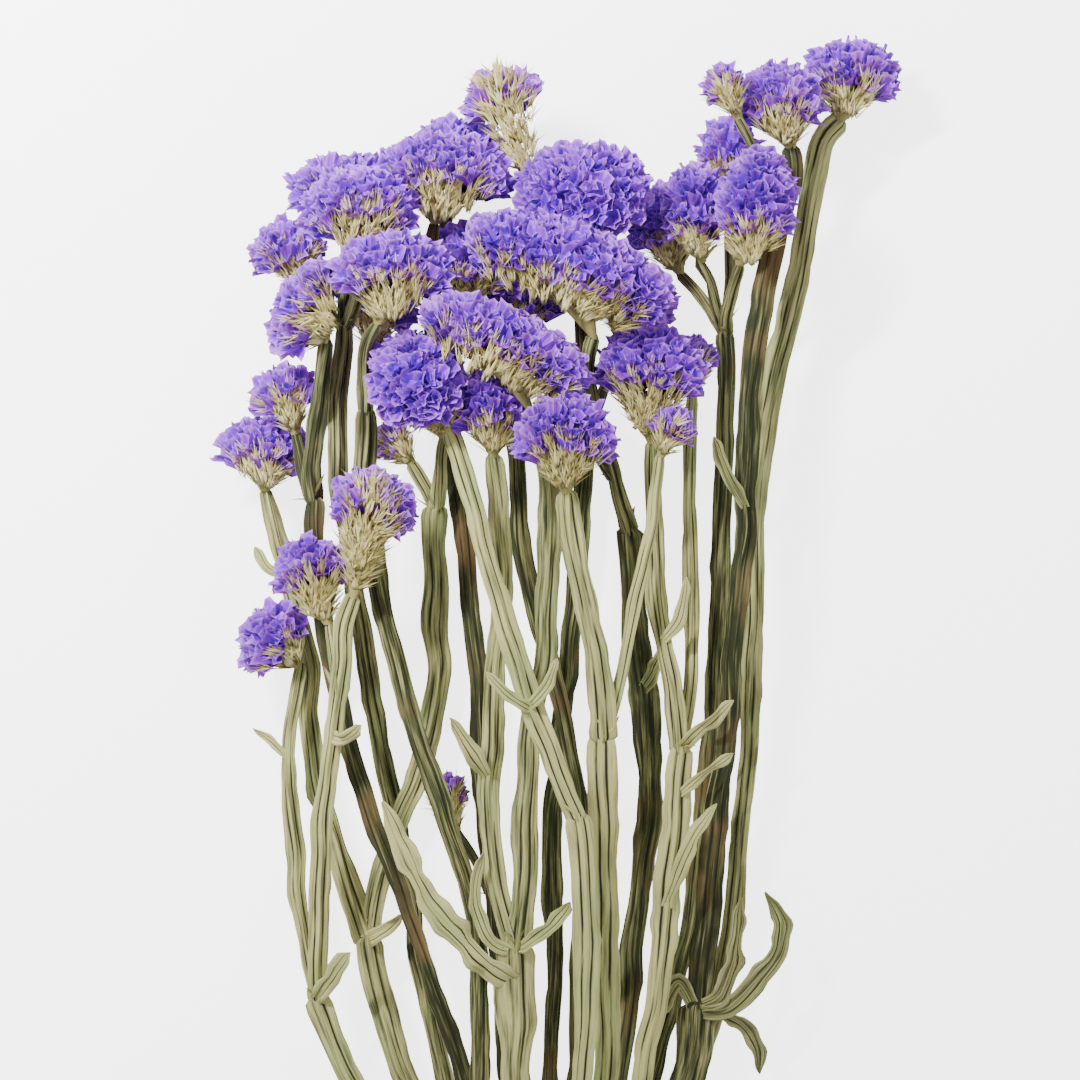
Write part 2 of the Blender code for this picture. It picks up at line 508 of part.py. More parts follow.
def bract_rings(foot, rim, axes, sizes, seed):
    """The straw cup under a head, from the stem end to a spiky rim just below the florets."""
    along, across, out = axes
    rng = np.random.default_rng(seed)
    count = 6 if max(sizes) < 4 else 8
    if max(sizes) > 12:
        count = 14
    foot = np.array(foot, float)
    rim = np.array(rim, float)
    rings = []
    for level, grow in ((0.0, 0.0), (0.5, 0.62), (1.0, 1.0)):
        ring = []
        for k in range(count):
            angle = 2 * math.pi * k / count
            spike = 1 if k % 2 else 0
            reach = 1.0
            sink = GAP / 2
            if level == 1.0:
                reach = 1.14 if spike else 0.86
                sink = GAP / 2 + (0.0 if spike else RIM_NOTCH)
            elif level == 0.5:
                reach = rng.uniform(0.86, 1.14) * (1.1 if spike else 0.9)
            wide = CUP_FOOT_R + (sizes[0] - CUP_FOOT_R) * grow * reach
            deep = CUP_FOOT_R + (sizes[1] - CUP_FOOT_R) * grow * reach
            centre = foot + (rim - foot) * level
            place = centre + along * math.cos(angle) * wide + across * math.sin(angle) * deep
            ring.append(place - out * sink if level == 1.0 else place)
        rings.append(ring)
    return rings, rim - out * GAP / 2


def dome_cloud(sizes, seed):
    """Scattered points on a dome that stands on the plane w = 0."""
    wide, deep, tall = sizes
    low = 0.34 * tall
    area = 2 * math.pi * ((wide * deep) ** 0.8 + (wide * tall) ** 0.8 + (deep * tall) ** 0.8) / 3
    count = min(max(12, round(area**1.25 / FLORET_SHARE)), MOST_FLORETS)
    rng = np.random.default_rng(seed)
    index = np.arange(count) + 0.5
    height = 1 - 2 * index / count
    turn = math.pi * (1 + 5**0.5) * index + rng.uniform(0, 6.28)
    spread = np.sqrt(1 - height**2)
    swell = rng.uniform(0.9, 1.0, count)
    u = wide * spread * np.cos(turn) * swell
    v = deep * spread * np.sin(turn) * swell
    w = np.where(height > 0, low + (tall - low) * height * swell, low + 1.5 * low * height)
    under = w < 0
    w[under] = 0
    u[under] *= 0.8
    v[under] *= 0.8
    return np.stack([u, v, w], axis=1)


def cells_of(cloud):
    """The hull of a cloud, turned into one face for each of its points."""
    hull = bmesh.new()
    for point in cloud:
        hull.verts.new(point)
    made = bmesh.ops.convex_hull(hull, input=hull.verts)
    spare = [item for item in made["geom_interior"] if isinstance(item, bmesh.types.BMVert)]
    spare += [vert for vert in hull.verts if not vert.link_faces and vert not in spare]
    bmesh.ops.delete(hull, geom=spare, context="VERTS")
    bmesh.ops.triangulate(hull, faces=hull.faces)
    hull.normal_update()
    hull.verts.ensure_lookup_table()
    hull.faces.index_update()
    cells = bmesh.new()
    corners = [cells.verts.new(face.calc_center_median()) for face in hull.faces]
    for vert in hull.verts:
        pole = vert.normal.copy()
        start = (vert.link_faces[0].calc_center_median() - vert.co)
        start = (start - pole * start.dot(pole)).normalized()
        cross = pole.cross(start)
        around = []
        for face in vert.link_faces:
            arm = face.calc_center_median() - vert.co
            around.append((math.atan2(arm.dot(cross), arm.dot(start)), face.index))
        around.sort()
        cells.faces.new([corners[index] for angle, index in around])
    hull.free()
    cells.normal_update()
    return cells


def floret_dome(name, rim, axes, sizes, seed, home):
    """A head of florets: every cell of the dome has a raised rim and a sunk middle."""
    cells = cells_of(dome_cloud(sizes, seed))
    rng = np.random.default_rng(seed + 500)
    facing = [face for face in cells.faces if face.normal.z > -0.55]
    facing = [face for face in facing if face.calc_area() > 6.0]
    for face in facing:
        reach = math.sqrt(face.calc_area())
        bmesh.ops.inset_individual(
            cells, faces=[face], thickness=0.13 * reach, depth=rng.uniform(0.12, 0.4) * reach
        )
        bmesh.ops.poke(cells, faces=[face], offset=-0.16 * reach)
    along, across, out = axes
    spin = np.stack([along, across, out])
    verts = []
    cells.verts.index_update()
    base = min(corner.co.z for face in cells.faces if face.normal.z < -0.8 for corner in face.verts)
    for vert in cells.verts:
        local = np.array([vert.co.x, vert.co.y, max(vert.co.z - base, 0.0) + GAP / 2])
        place = np.array(rim, float) + local @ spin
        place[2] = max(place[2], 0.0)
        verts.append(tuple(place))
    faces = [tuple(vert.index for vert in face.verts) for face in cells.faces]
    cells.free()
    return mesh_object(name, verts, faces, home)


def build_stem(name, limbs, seed, home):
    """One node: a stem with its branches, its leaves and the straw cups of its heads."""
    pieces = []
    for index, (parent, at, span_start, span_end, points) in enumerate(limbs):
        points = [np.array(point, float) for point in points]
        if parent is not None:
            before = np.array(limbs[parent][4][at - 1 if at else 0], float)
            here = points[0]
            if at:
                points[0] = here + unit(before - here) * BRANCH_SINK
        rings = stem_rings(points, span_start, span_end, parent is None, seed + 1.7 * index)
        pieces.append(mesh_object(f"{name}_limb", *loft(rings), home))
    for stem, width, points in LEAVES:
        if stem == name:
            pieces.append(mesh_object(f"{name}_leaf", *loft(leaf_rings(points, width)), home))
    for number, (stem, limb, rim, facing, long_way, rim_size, dome) in enumerate(HEADS.values()):
        if stem != name:
            continue
        tip = np.array(limbs[limb][4][-1], float)
        before = np.array(limbs[limb][4][-2], float)
        foot = tip + unit(before - tip) * FOOT_SINK
        cup = bract_rings(foot, rim, head_axes(facing, long_way), rim_size, 40 + number)
        pieces.append(mesh_object(f"{name}_cup", *loft(*cup), home))
    body = pieces[0]
    body.name = name
    body.data.name = name
    fuse(body, pieces[1:], home)
    tidy_mesh(body)
    return body


def build_tie(home):
    """Turns of cord round the stems, side by side in one band."""
    rings = []
    for k in range(TIE_SEGMENTS):
        angle = 2 * math.pi * k / TIE_SEGMENTS
        c = math.cos(angle)
        s = math.sin(angle)
        round_x = math.copysign(abs(c) ** TIE_SQUARE, c)
        round_z = math.copysign(abs(s) ** TIE_SQUARE, s)
        outward = unit([c / TIE_HALF_X, 0, s / TIE_HALF_Z])
        inner = np.array([round_x * TIE_HALF_X, TIE_Y, TIE_MIDDLE + round_z * TIE_HALF_Z])
        half = TIE_TURNS * CORD_D / 2
        ring = [inner - [0, half, 0], inner + [0, half, 0]]
        for turn in range(2 * TIE_TURNS + 1):
            y = half - turn * CORD_D / 2
            rise = CORD_D * (1.0 if turn % 2 else 0.55)
            point = inner + outward * rise + [0, y, 0]
            point[2] = max(point[2], 0.0)
            ring.append(point)
        rings.append(ring)
    count = len(rings[0])
    verts = [tuple(point) for ring in rings for point in ring]
    faces = []
    for k in range(TIE_SEGMENTS):
        low = k * count
        high = ((k + 1) % TIE_SEGMENTS) * count
        for j in range(count):
            after = (j + 1) % count
            faces.append((low + j, low + after, high + after))
            faces.append((low + j, high + after, high + j))
    return mesh_object("tie", verts, faces, home)


def centre_on_origin(home):
    """Moves every mesh so that the middle of the bunch's underside is the origin."""
    points = np.concatenate([mesh_points(item.data) for item in home.objects])
    low = points.min(axis=0)
    high = points.max(axis=0)
    shift = -(low + high) / 2
    shift[2] = -low[2]
    for item in home.objects:
        moved = mesh_points(item.data) + shift
        item.data.vertices.foreach_set("co", moved.astype(np.float32).ravel())
        item.data.update()


def mesh_points(mesh):
    points = np.empty(len(mesh.vertices) * 3, np.float32)
    mesh.vertices.foreach_get("co", points)
    return points.reshape(-1, 3).astype(float)


def main():
    clear_scene()
    home = collection_named("dried_statice")
    green = material_named("stem_sage", STEM_GREEN, 0.8)
    violet = material_named("floret_violet", FLORET_VIOLET, 0.75)
    jute = material_named("cord_jute", JUTE, 0.9)
    for number, (name, limbs) in enumerate(STEMS.items()):
        build_stem(name, limbs, number, home).data.materials.append(green)
    for number, (name, head) in enumerate(HEADS.items()):
        stem, limb, rim, facing, long_way, rim_size, dome = head
        made = floret_dome(name, rim, head_axes(facing, long_way), dome, number, home)
        made.data.materials.append(violet)
    build_tie(home).data.materials.append(jute)
    centre_on_origin(home)


main()
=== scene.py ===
"""Looks of the dried statice bunch: papery calyx funnels, straw bracts, winged stems and a jute tie.

The tables are in millimetres, as the plant was measured; the cord near the cut ends says where
they lie in the frame. X runs across the bunch, Y from the cut ends to the tips, Z upward.
"""

import math

import bpy
import numpy as np
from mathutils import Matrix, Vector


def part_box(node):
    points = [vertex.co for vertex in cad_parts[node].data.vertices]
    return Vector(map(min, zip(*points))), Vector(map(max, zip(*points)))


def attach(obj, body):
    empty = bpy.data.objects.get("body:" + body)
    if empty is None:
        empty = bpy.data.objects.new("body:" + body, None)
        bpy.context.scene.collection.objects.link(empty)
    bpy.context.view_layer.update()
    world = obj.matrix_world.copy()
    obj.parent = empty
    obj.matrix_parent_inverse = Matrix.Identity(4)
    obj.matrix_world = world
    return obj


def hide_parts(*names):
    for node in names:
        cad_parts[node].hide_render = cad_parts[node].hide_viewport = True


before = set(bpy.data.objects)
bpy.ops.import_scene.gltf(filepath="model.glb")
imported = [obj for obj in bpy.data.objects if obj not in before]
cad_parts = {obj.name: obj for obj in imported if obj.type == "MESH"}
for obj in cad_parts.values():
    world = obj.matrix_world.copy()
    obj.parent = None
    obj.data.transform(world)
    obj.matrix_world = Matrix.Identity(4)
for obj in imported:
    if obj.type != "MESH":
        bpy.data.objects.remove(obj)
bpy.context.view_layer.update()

MM = 0.001
# The tie: its place along the stems, the middle and half sizes of its inside, and its cord.
TIE_Y = 45.0
TIE_MIDDLE = 9.85
TIE_HALF_X = 14.0
TIE_HALF_Z = 8.1
TIE_SQUARENESS = 0.5
TIE_TURNS = 3
CORD_D = 2.2
PLY_R = 0.62
PLY_ORBIT = 0.48
TWISTS_A_TURN = 16
# Stems lie straight this far from their cut ends. Then a core's radius, how far a limb starts
# inside its parent, the length of its tapered ends, and the steps along limbs and leaves.
PINNED_BELOW = 62.0
CORE_R = 1.15
LIMB_SUNK = 2.5
TAPER = 2.6
LIMB_STEP = 2.6
LEAF_STEP = 1.4
# Heads: how far a cup's foot is inside its limb and the foot's half width, how far up a dome is
# widest, and the size of the kernel in it, the last two as shares of the dome. Then the sides of a
# cup or kernel, the pleats of a funnel, the needles of a spikelet and the spacing of the funnels.
CUP_SUNK = 1.2
CUP_FOOT = 1.3
MIDDLE_SHARE = 0.34
KERNEL_SHARE = 0.66
ROUND_SIDES = 14
PLEATS = 8
NEEDLES = 14
SPACING = 3.6
SMALL_SPACING = 2.9
tie_low, tie_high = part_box("tie")
SHIFT = np.array([
    (tie_low.x + tie_high.x) / 2 / MM,
    (tie_low.y + tie_high.y) / 2 / MM - TIE_Y,
    0.0,
])

# The limbs of each stem. A limb is (parent limb, the parent's point where it starts, wing span at
# its start, span at its end, its points); the first has no parent and starts at the cut end.
STEMS = {
    "stem_left_outer": [
        (None, 0, 5.6, 8.5, [(-9.3, 0, 11.5), (-9.3, 50, 11.5), (-25, 85, 22), (-44, 112, 24),
            (-58, 130, 24), (-65, 147, 24), (-68, 154, 24)]),
        (0, 6, 6.0, 4.2, [(-71, 172, 23), (-74, 195, 22), (-76.5, 218, 22), (-76, 234, 22),
            (-74, 248, 22), (-72.5, 255, 22)]),
        (0, 6, 6.5, 5.5, [(-67, 175, 28), (-65.5, 200, 33), (-63.5, 225, 38), (-60, 248, 43),
            (-57.5, 264, 45), (-55.5, 276, 45)]),
        (2, 4, 4.0, 3.4, [(-62, 260, 42), (-63.5, 268, 41)]),
    ],
    "stem_left_low": [
        (None, 0, 5.6, 9.0, [(-9.3, 0, 7.75), (-9.3, 50, 7.75), (-24, 85, 11), (-35, 112, 11),
            (-42, 130, 11), (-48, 150, 11), (-53, 171, 11)]),
        (0, 6, 8.0, 5.0, [(-58, 184, 11), (-63, 201, 11), (-68, 217, 11), (-70, 236, 11),
            (-70.5, 256, 12), (-76, 278, 15), (-81, 295, 17), (-84, 308, 18)]),
        (0, 6, 6.0, 8.0, [(-49, 190, 11), (-42, 208, 11), (-36, 224, 10), (-32.5, 242, 10),
            (-31.5, 262, 11), (-31.5, 285, 14), (-32, 303, 18)]),
        (2, 7, 5.0, 4.0, [(-36, 310, 20), (-39, 316, 22)]),
        (2, 7, 5.0, 4.0, [(-30, 314, 24), (-29, 324, 30)]),
    ],
    "stem_left_dark": [
        (None, 0, 5.6, 6.0, [(-3.1, 0, 11.5), (-3.1, 50, 11.5), (-12.5, 85, 14), (-20, 115, 17.5),
            (-26, 138, 19), (-34, 162, 23), (-42, 185, 25), (-50, 206, 26), (-57, 228, 27),
            (-62, 250, 28), (-66.5, 280, 30), (-68, 305, 34)]),
        (0, 11, 6.0, 5.0, [(-67.5, 320, 39), (-65.5, 334, 43), (-63, 352, 44)]),
        (0, 11, 4.0, 3.4, [(-72, 316, 30), (-74, 325, 27)]),
    ],
    "stem_smooth_inner": [
        (None, 0, 5.6, 6.4, [(-9.3, 0, 15.25), (-9.3, 50, 15.25), (-13.5, 85, 25), (-18, 115, 30),
            (-18, 140, 35), (-18, 168, 36), (-22.5, 190, 37), (-28.5, 208, 38), (-34.5, 226, 38),
            (-40.5, 245, 36), (-46, 266, 33), (-50, 290, 31), (-53, 312, 33), (-52, 332, 37)]),
        (0, 13, 5.0, 4.0, [(-52, 346, 43), (-47.5, 357, 49)]),
        (0, 13, 4.5, 4.0, [(-53, 342, 27), (-51, 350, 20)]),
    ],
    "stem_smooth_outer": [
        (None, 0, 5.6, 6.4, [(-9.3, 0, 4), (-9.3, 50, 4), (-18, 85, 5), (-26, 112, 5.5),
            (-32, 138, 5.5), (-37, 165, 6), (-41, 188, 5), (-44, 206, 5), (-48, 226, 6),
            (-52, 246, 9), (-55, 266, 13), (-58, 290, 17), (-61, 315, 20), (-60.5, 340, 24),
            (-58, 358, 28)]),
        (0, 14, 5.0, 4.0, [(-54, 368, 36), (-51, 376, 41)]),
        (0, 14, 4.2, 3.4, [(-65, 363, 25), (-71, 368, 22)]),
        (0, 14, 4.6, 3.8, [(-59, 374, 22), (-58, 389, 19)]),
    ],
    "stem_broad_centre": [
        (None, 0, 5.6, 13.0, [(-3.1, 0, 15.25), (-3.1, 50, 15.25), (-5, 85, 26), (-6.5, 112, 33),
            (-7, 135, 37), (-7, 155, 39), (-7, 171, 40)]),
        (0, 6, 7.0, 6.0, [(-12, 186, 39), (-14.5, 204, 37), (-15, 224, 35), (-14, 244, 33),
            (-12, 264, 32), (-11, 288, 34), (-12, 304, 35), (-14, 318, 38)]),
        (0, 6, 8.0, 6.0, [(-4.5, 190, 41), (-4, 212, 42), (-2, 236, 42), (1, 258, 41), (2, 282, 40),
            (2.5, 304, 40), (0, 320, 44), (-3, 331, 49)]),
    ],
    "stem_bright_left": [
        (None, 0, 5.6, 8.5, [(3.1, 0, 15.25), (3.1, 50, 15.25), (5, 85, 30), (10, 112, 37),
            (13, 135, 42), (14, 160, 46), (13, 188, 49), (11.5, 211, 50)]),
        (0, 7, 7.5, 6.0, [(4, 227, 51), (-4, 247, 51), (-9, 264, 50), (-14.5, 283, 49),
            (-20, 302, 47), (-25, 318, 45), (-28, 326, 44)]),
    ],
    "stem_bright_right": [
        (None, 0, 5.6, 9.5, [(9.3, 0, 15.25), (9.3, 50, 15.25), (12, 85, 26), (17, 112, 30),
            (20, 135, 32), (20, 160, 34), (19.5, 190, 36), (19, 216, 37), (19, 234, 38)]),
        (0, 8, 8.5, 7.0, [(17.5, 255, 43), (14, 274, 47), (10.5, 291, 51), (7.5, 307, 54)]),
        (0, 8, 4.2, 3.6, [(23, 246, 39), (27, 266, 42), (31, 286, 44), (34, 303, 45),
            (36, 318, 44)]),
    ],
    "stem_right_wide": [
        (None, 0, 5.6, 10.0, [(3.1, 0, 11.5), (3.1, 50, 11.5), (13, 85, 15), (21, 112, 14),
            (25, 138, 13), (28, 165, 12), (31, 190, 11), (33, 214, 11), (32, 238, 12),
            (29.5, 260, 15), (28, 280, 19), (27, 296, 23)]),
        (0, 11, 6.0, 4.2, [(22, 312, 28), (17, 328, 34), (14.5, 342, 41), (16, 353, 48)]),
        (1, 1, 3.8, 3.4, [(15, 322, 28), (10, 332, 29)]),
    ],
    "stem_right_forked": [
        (None, 0, 5.6, 9.0, [(9.3, 0, 11.5), (9.3, 50, 11.5), (19, 85, 22), (27, 112, 27),
            (32, 140, 30), (36, 165, 31), (39, 190, 31), (41, 212, 31), (42, 230, 31)]),
        (0, 8, 7.0, 5.0, [(40, 246, 32), (37, 262, 32), (34.5, 284, 32), (33.5, 304, 34),
            (33.5, 322, 37)]),
        (0, 8, 4.6, 4.2, [(45.5, 248, 25), (46, 270, 22), (45.5, 295, 21), (45, 318, 22),
            (45.5, 337, 24)]),
    ],
    "stem_right_leafy": [
        (None, 0, 5.6, 13.0, [(9.3, 0, 7.75), (9.3, 50, 7.75), (25, 85, 14), (37, 110, 17),
            (45, 130, 18), (48, 151, 18)]),
        (0, 5, 8.0, 6.0, [(50.5, 175, 20), (53, 200, 23), (56, 226, 26), (58, 250, 29),
            (60, 276, 32), (61.5, 302, 34), (63.5, 330, 35), (67, 362, 34), (73, 388, 32),
            (76.5, 402, 30), (75.5, 411, 29)]),
        (1, 9, 3.4, 3.0, [(66, 404, 37), (59, 419, 40)]),
    ],
    "stem_right_tall": [
        (None, 0, 5.6, 7.5, [(9.3, 0, 4), (9.3, 50, 4), (24, 85, 7), (38, 112, 8), (50, 138, 9),
            (57, 165, 10), (60, 190, 12), (62.5, 216, 14), (64, 242, 16), (64.5, 270, 17),
            (66, 300, 18), (68.5, 325, 19), (74, 352, 19), (79.5, 378, 19), (83, 398, 18),
            (86, 413, 17), (92, 420, 16)]),
    ],
    "stem_right_group": [
        (None, 0, 5.6, 6.5, [(3.1, 0, 4), (3.1, 50, 4), (16, 85, 3.5), (28, 112, 3.5),
            (38, 138, 3.5), (44, 165, 3.5), (48, 192, 3.8), (51, 220, 5), (53.5, 248, 8),
            (55, 276, 11), (56, 304, 13), (56.5, 330, 15), (56.5, 356, 18)]),
        (0, 12, 4.0, 3.4, [(52, 367, 22), (48.5, 377, 26)]),
        (0, 12, 4.4, 3.4, [(57.5, 366, 28), (60, 375, 38)]),
        (0, 12, 4.0, 3.2, [(49, 366, 14), (42, 374, 12)]),
        (0, 12, 4.0, 3.2, [(58, 380, 15), (58, 401, 13)]),
    ],
    "stem_back_centre": [
        (None, 0, 5.6, 6.0, [(-3.1, 0, 4), (-3.1, 50, 4), (0, 85, 3.6), (3, 120, 3.6),
            (4, 160, 3.6), (4, 200, 3.8), (7, 240, 4.5), (10, 270, 6), (12.5, 300, 8),
            (13.5, 325, 10)]),
        (0, 9, 4.6, 4.0, [(14, 345, 17), (13, 365, 25), (12.5, 384, 32)]),
        (0, 9, 4.6, 3.8, [(13, 348, 11), (11, 370, 14), (4, 388, 21), (-5.5, 404, 28),
            (-11, 418, 31)]),
        (0, 9, 4.0, 3.4, [(20, 340, 10), (24, 354, 11)]),
    ],
    "stem_back_left": [
        (None, 0, 5.6, 6.0, [(-3.1, 0, 7.75), (-3.1, 50, 7.75), (-6, 85, 10.5), (-9, 120, 16),
            (-11.5, 150, 18), (-14, 185, 18), (-17, 215, 17), (-19, 245, 15), (-21, 270, 13),
            (-23.5, 295, 11.5), (-26.5, 318, 12), (-31, 342, 14)]),
        (0, 11, 4.6, 3.8, [(-33, 358, 20), (-33, 374, 28), (-31.5, 388, 34)]),
        (0, 11, 4.2, 3.4, [(-27, 356, 17), (-24, 366, 21)]),
        (1, 1, 4.0, 3.4, [(-31, 378, 18), (-26, 399, 17)]),
        (0, 5, 3.6, 3.0, [(-20, 195, 14), (-26, 204, 12)]),
    ],
    "stem_under": [
        (None, 0, 5.6, 6.0, [(3.1, 0, 7.75), (3.1, 50, 7.75), (8, 85, 10), (10, 120, 9.5),
            (12, 160, 9.5), (13, 200, 9), (7, 236, 12), (0, 265, 11), (-5, 290, 10), (-7, 312, 9),
            (-7, 330, 9)]),
        (0, 10, 4.2, 3.6, [(-6, 345, 10), (-4, 356, 11)]),
        (0, 10, 4.2, 3.6, [(-12, 338, 10), (-15, 346, 12)]),
    ],
}

# Each leaf: its stem, its greatest width, and points from the stem to the tip.
LEAVES = [
    ("stem_left_outer", 5.0, [(-68, 153, 24.5), (-63, 160, 29), (-57, 168, 32)]),
    ("stem_left_outer", 2.6, [(-76.5, 226, 22), (-81, 231, 22), (-87, 235, 21)]),
    ("stem_left_outer", 4.0, [(-62, 233, 40.5), (-58, 233, 47), (-53, 237, 50)]),
    ("stem_left_low", 4.0, [(-53, 170, 11), (-48, 173, 15.5), (-42, 178, 16)]),
    ("stem_left_low", 3.4, [(-77, 281, 15.5), (-83, 283, 14), (-87, 290, 12)]),
    ("stem_broad_centre", 7.5, [(-7.5, 160, 39), (-14, 164, 44), (-24, 174, 46), (-33, 185, 46.5),
        (-39, 197, 46), (-43.5, 207, 44.5), (-47, 214, 42)]),
    ("stem_broad_centre", 4.2, [(-8, 169, 40), (-15, 173, 42), (-19.5, 186, 43.5), (-17, 199, 42.5)]),
    ("stem_broad_centre", 4.0, [(-6, 170, 40.5), (-2, 173, 44.5), (4, 178, 46), (9, 184, 43)]),
    ("stem_broad_centre", 4.4, [(-15, 220, 35.5), (-20, 228, 42), (-27, 239, 45)]),
    ("stem_bright_left", 3.6, [(-3, 242, 51), (-9, 246, 55), (-16, 253, 55)]),
    ("stem_bright_left", 3.4, [(-3, 243, 51), (2, 249, 55.5), (5, 257, 54)]),
    ("stem_right_forked", 4.4, [(42, 229, 31), (48, 235, 34), (58, 244, 36.5)]),
    ("stem_right_forked", 3.0, [(41.5, 215, 31), (48, 221, 34), (58, 228, 34.5)]),
    ("stem_right_forked", 4.2, [(38, 182, 31), (42, 194, 36), (46.5, 203, 38), (53, 213, 37)]),
    ("stem_right_forked", 3.6, [(37, 262, 32), (42, 269, 35), (44, 281, 36)]),
    ("stem_right_leafy", 5.2, [(48, 150, 18.5), (55, 154, 22), (59, 166, 24), (61, 184, 24)]),
    ("stem_right_leafy", 6.0, [(48, 149, 18.5), (57, 150, 22), (65, 158, 23.5), (72, 167, 22),
        (73.5, 177, 18), (68.5, 185, 16)]),
    ("stem_right_leafy", 5.0, [(48, 148, 18), (58, 147, 17.5), (65, 140, 15), (67, 129, 11)]),
    ("stem_right_leafy", 5.0, [(47, 150, 18), (42, 158, 21), (37, 151, 22), (31, 147, 21)]),
    ("stem_right_leafy", 4.0, [(61.5, 302, 34), (56.5, 311, 38), (52, 323, 39)]),
    ("stem_right_wide", 4.0, [(31, 246, 13), (35, 252, 17), (39, 262, 18)]),
]

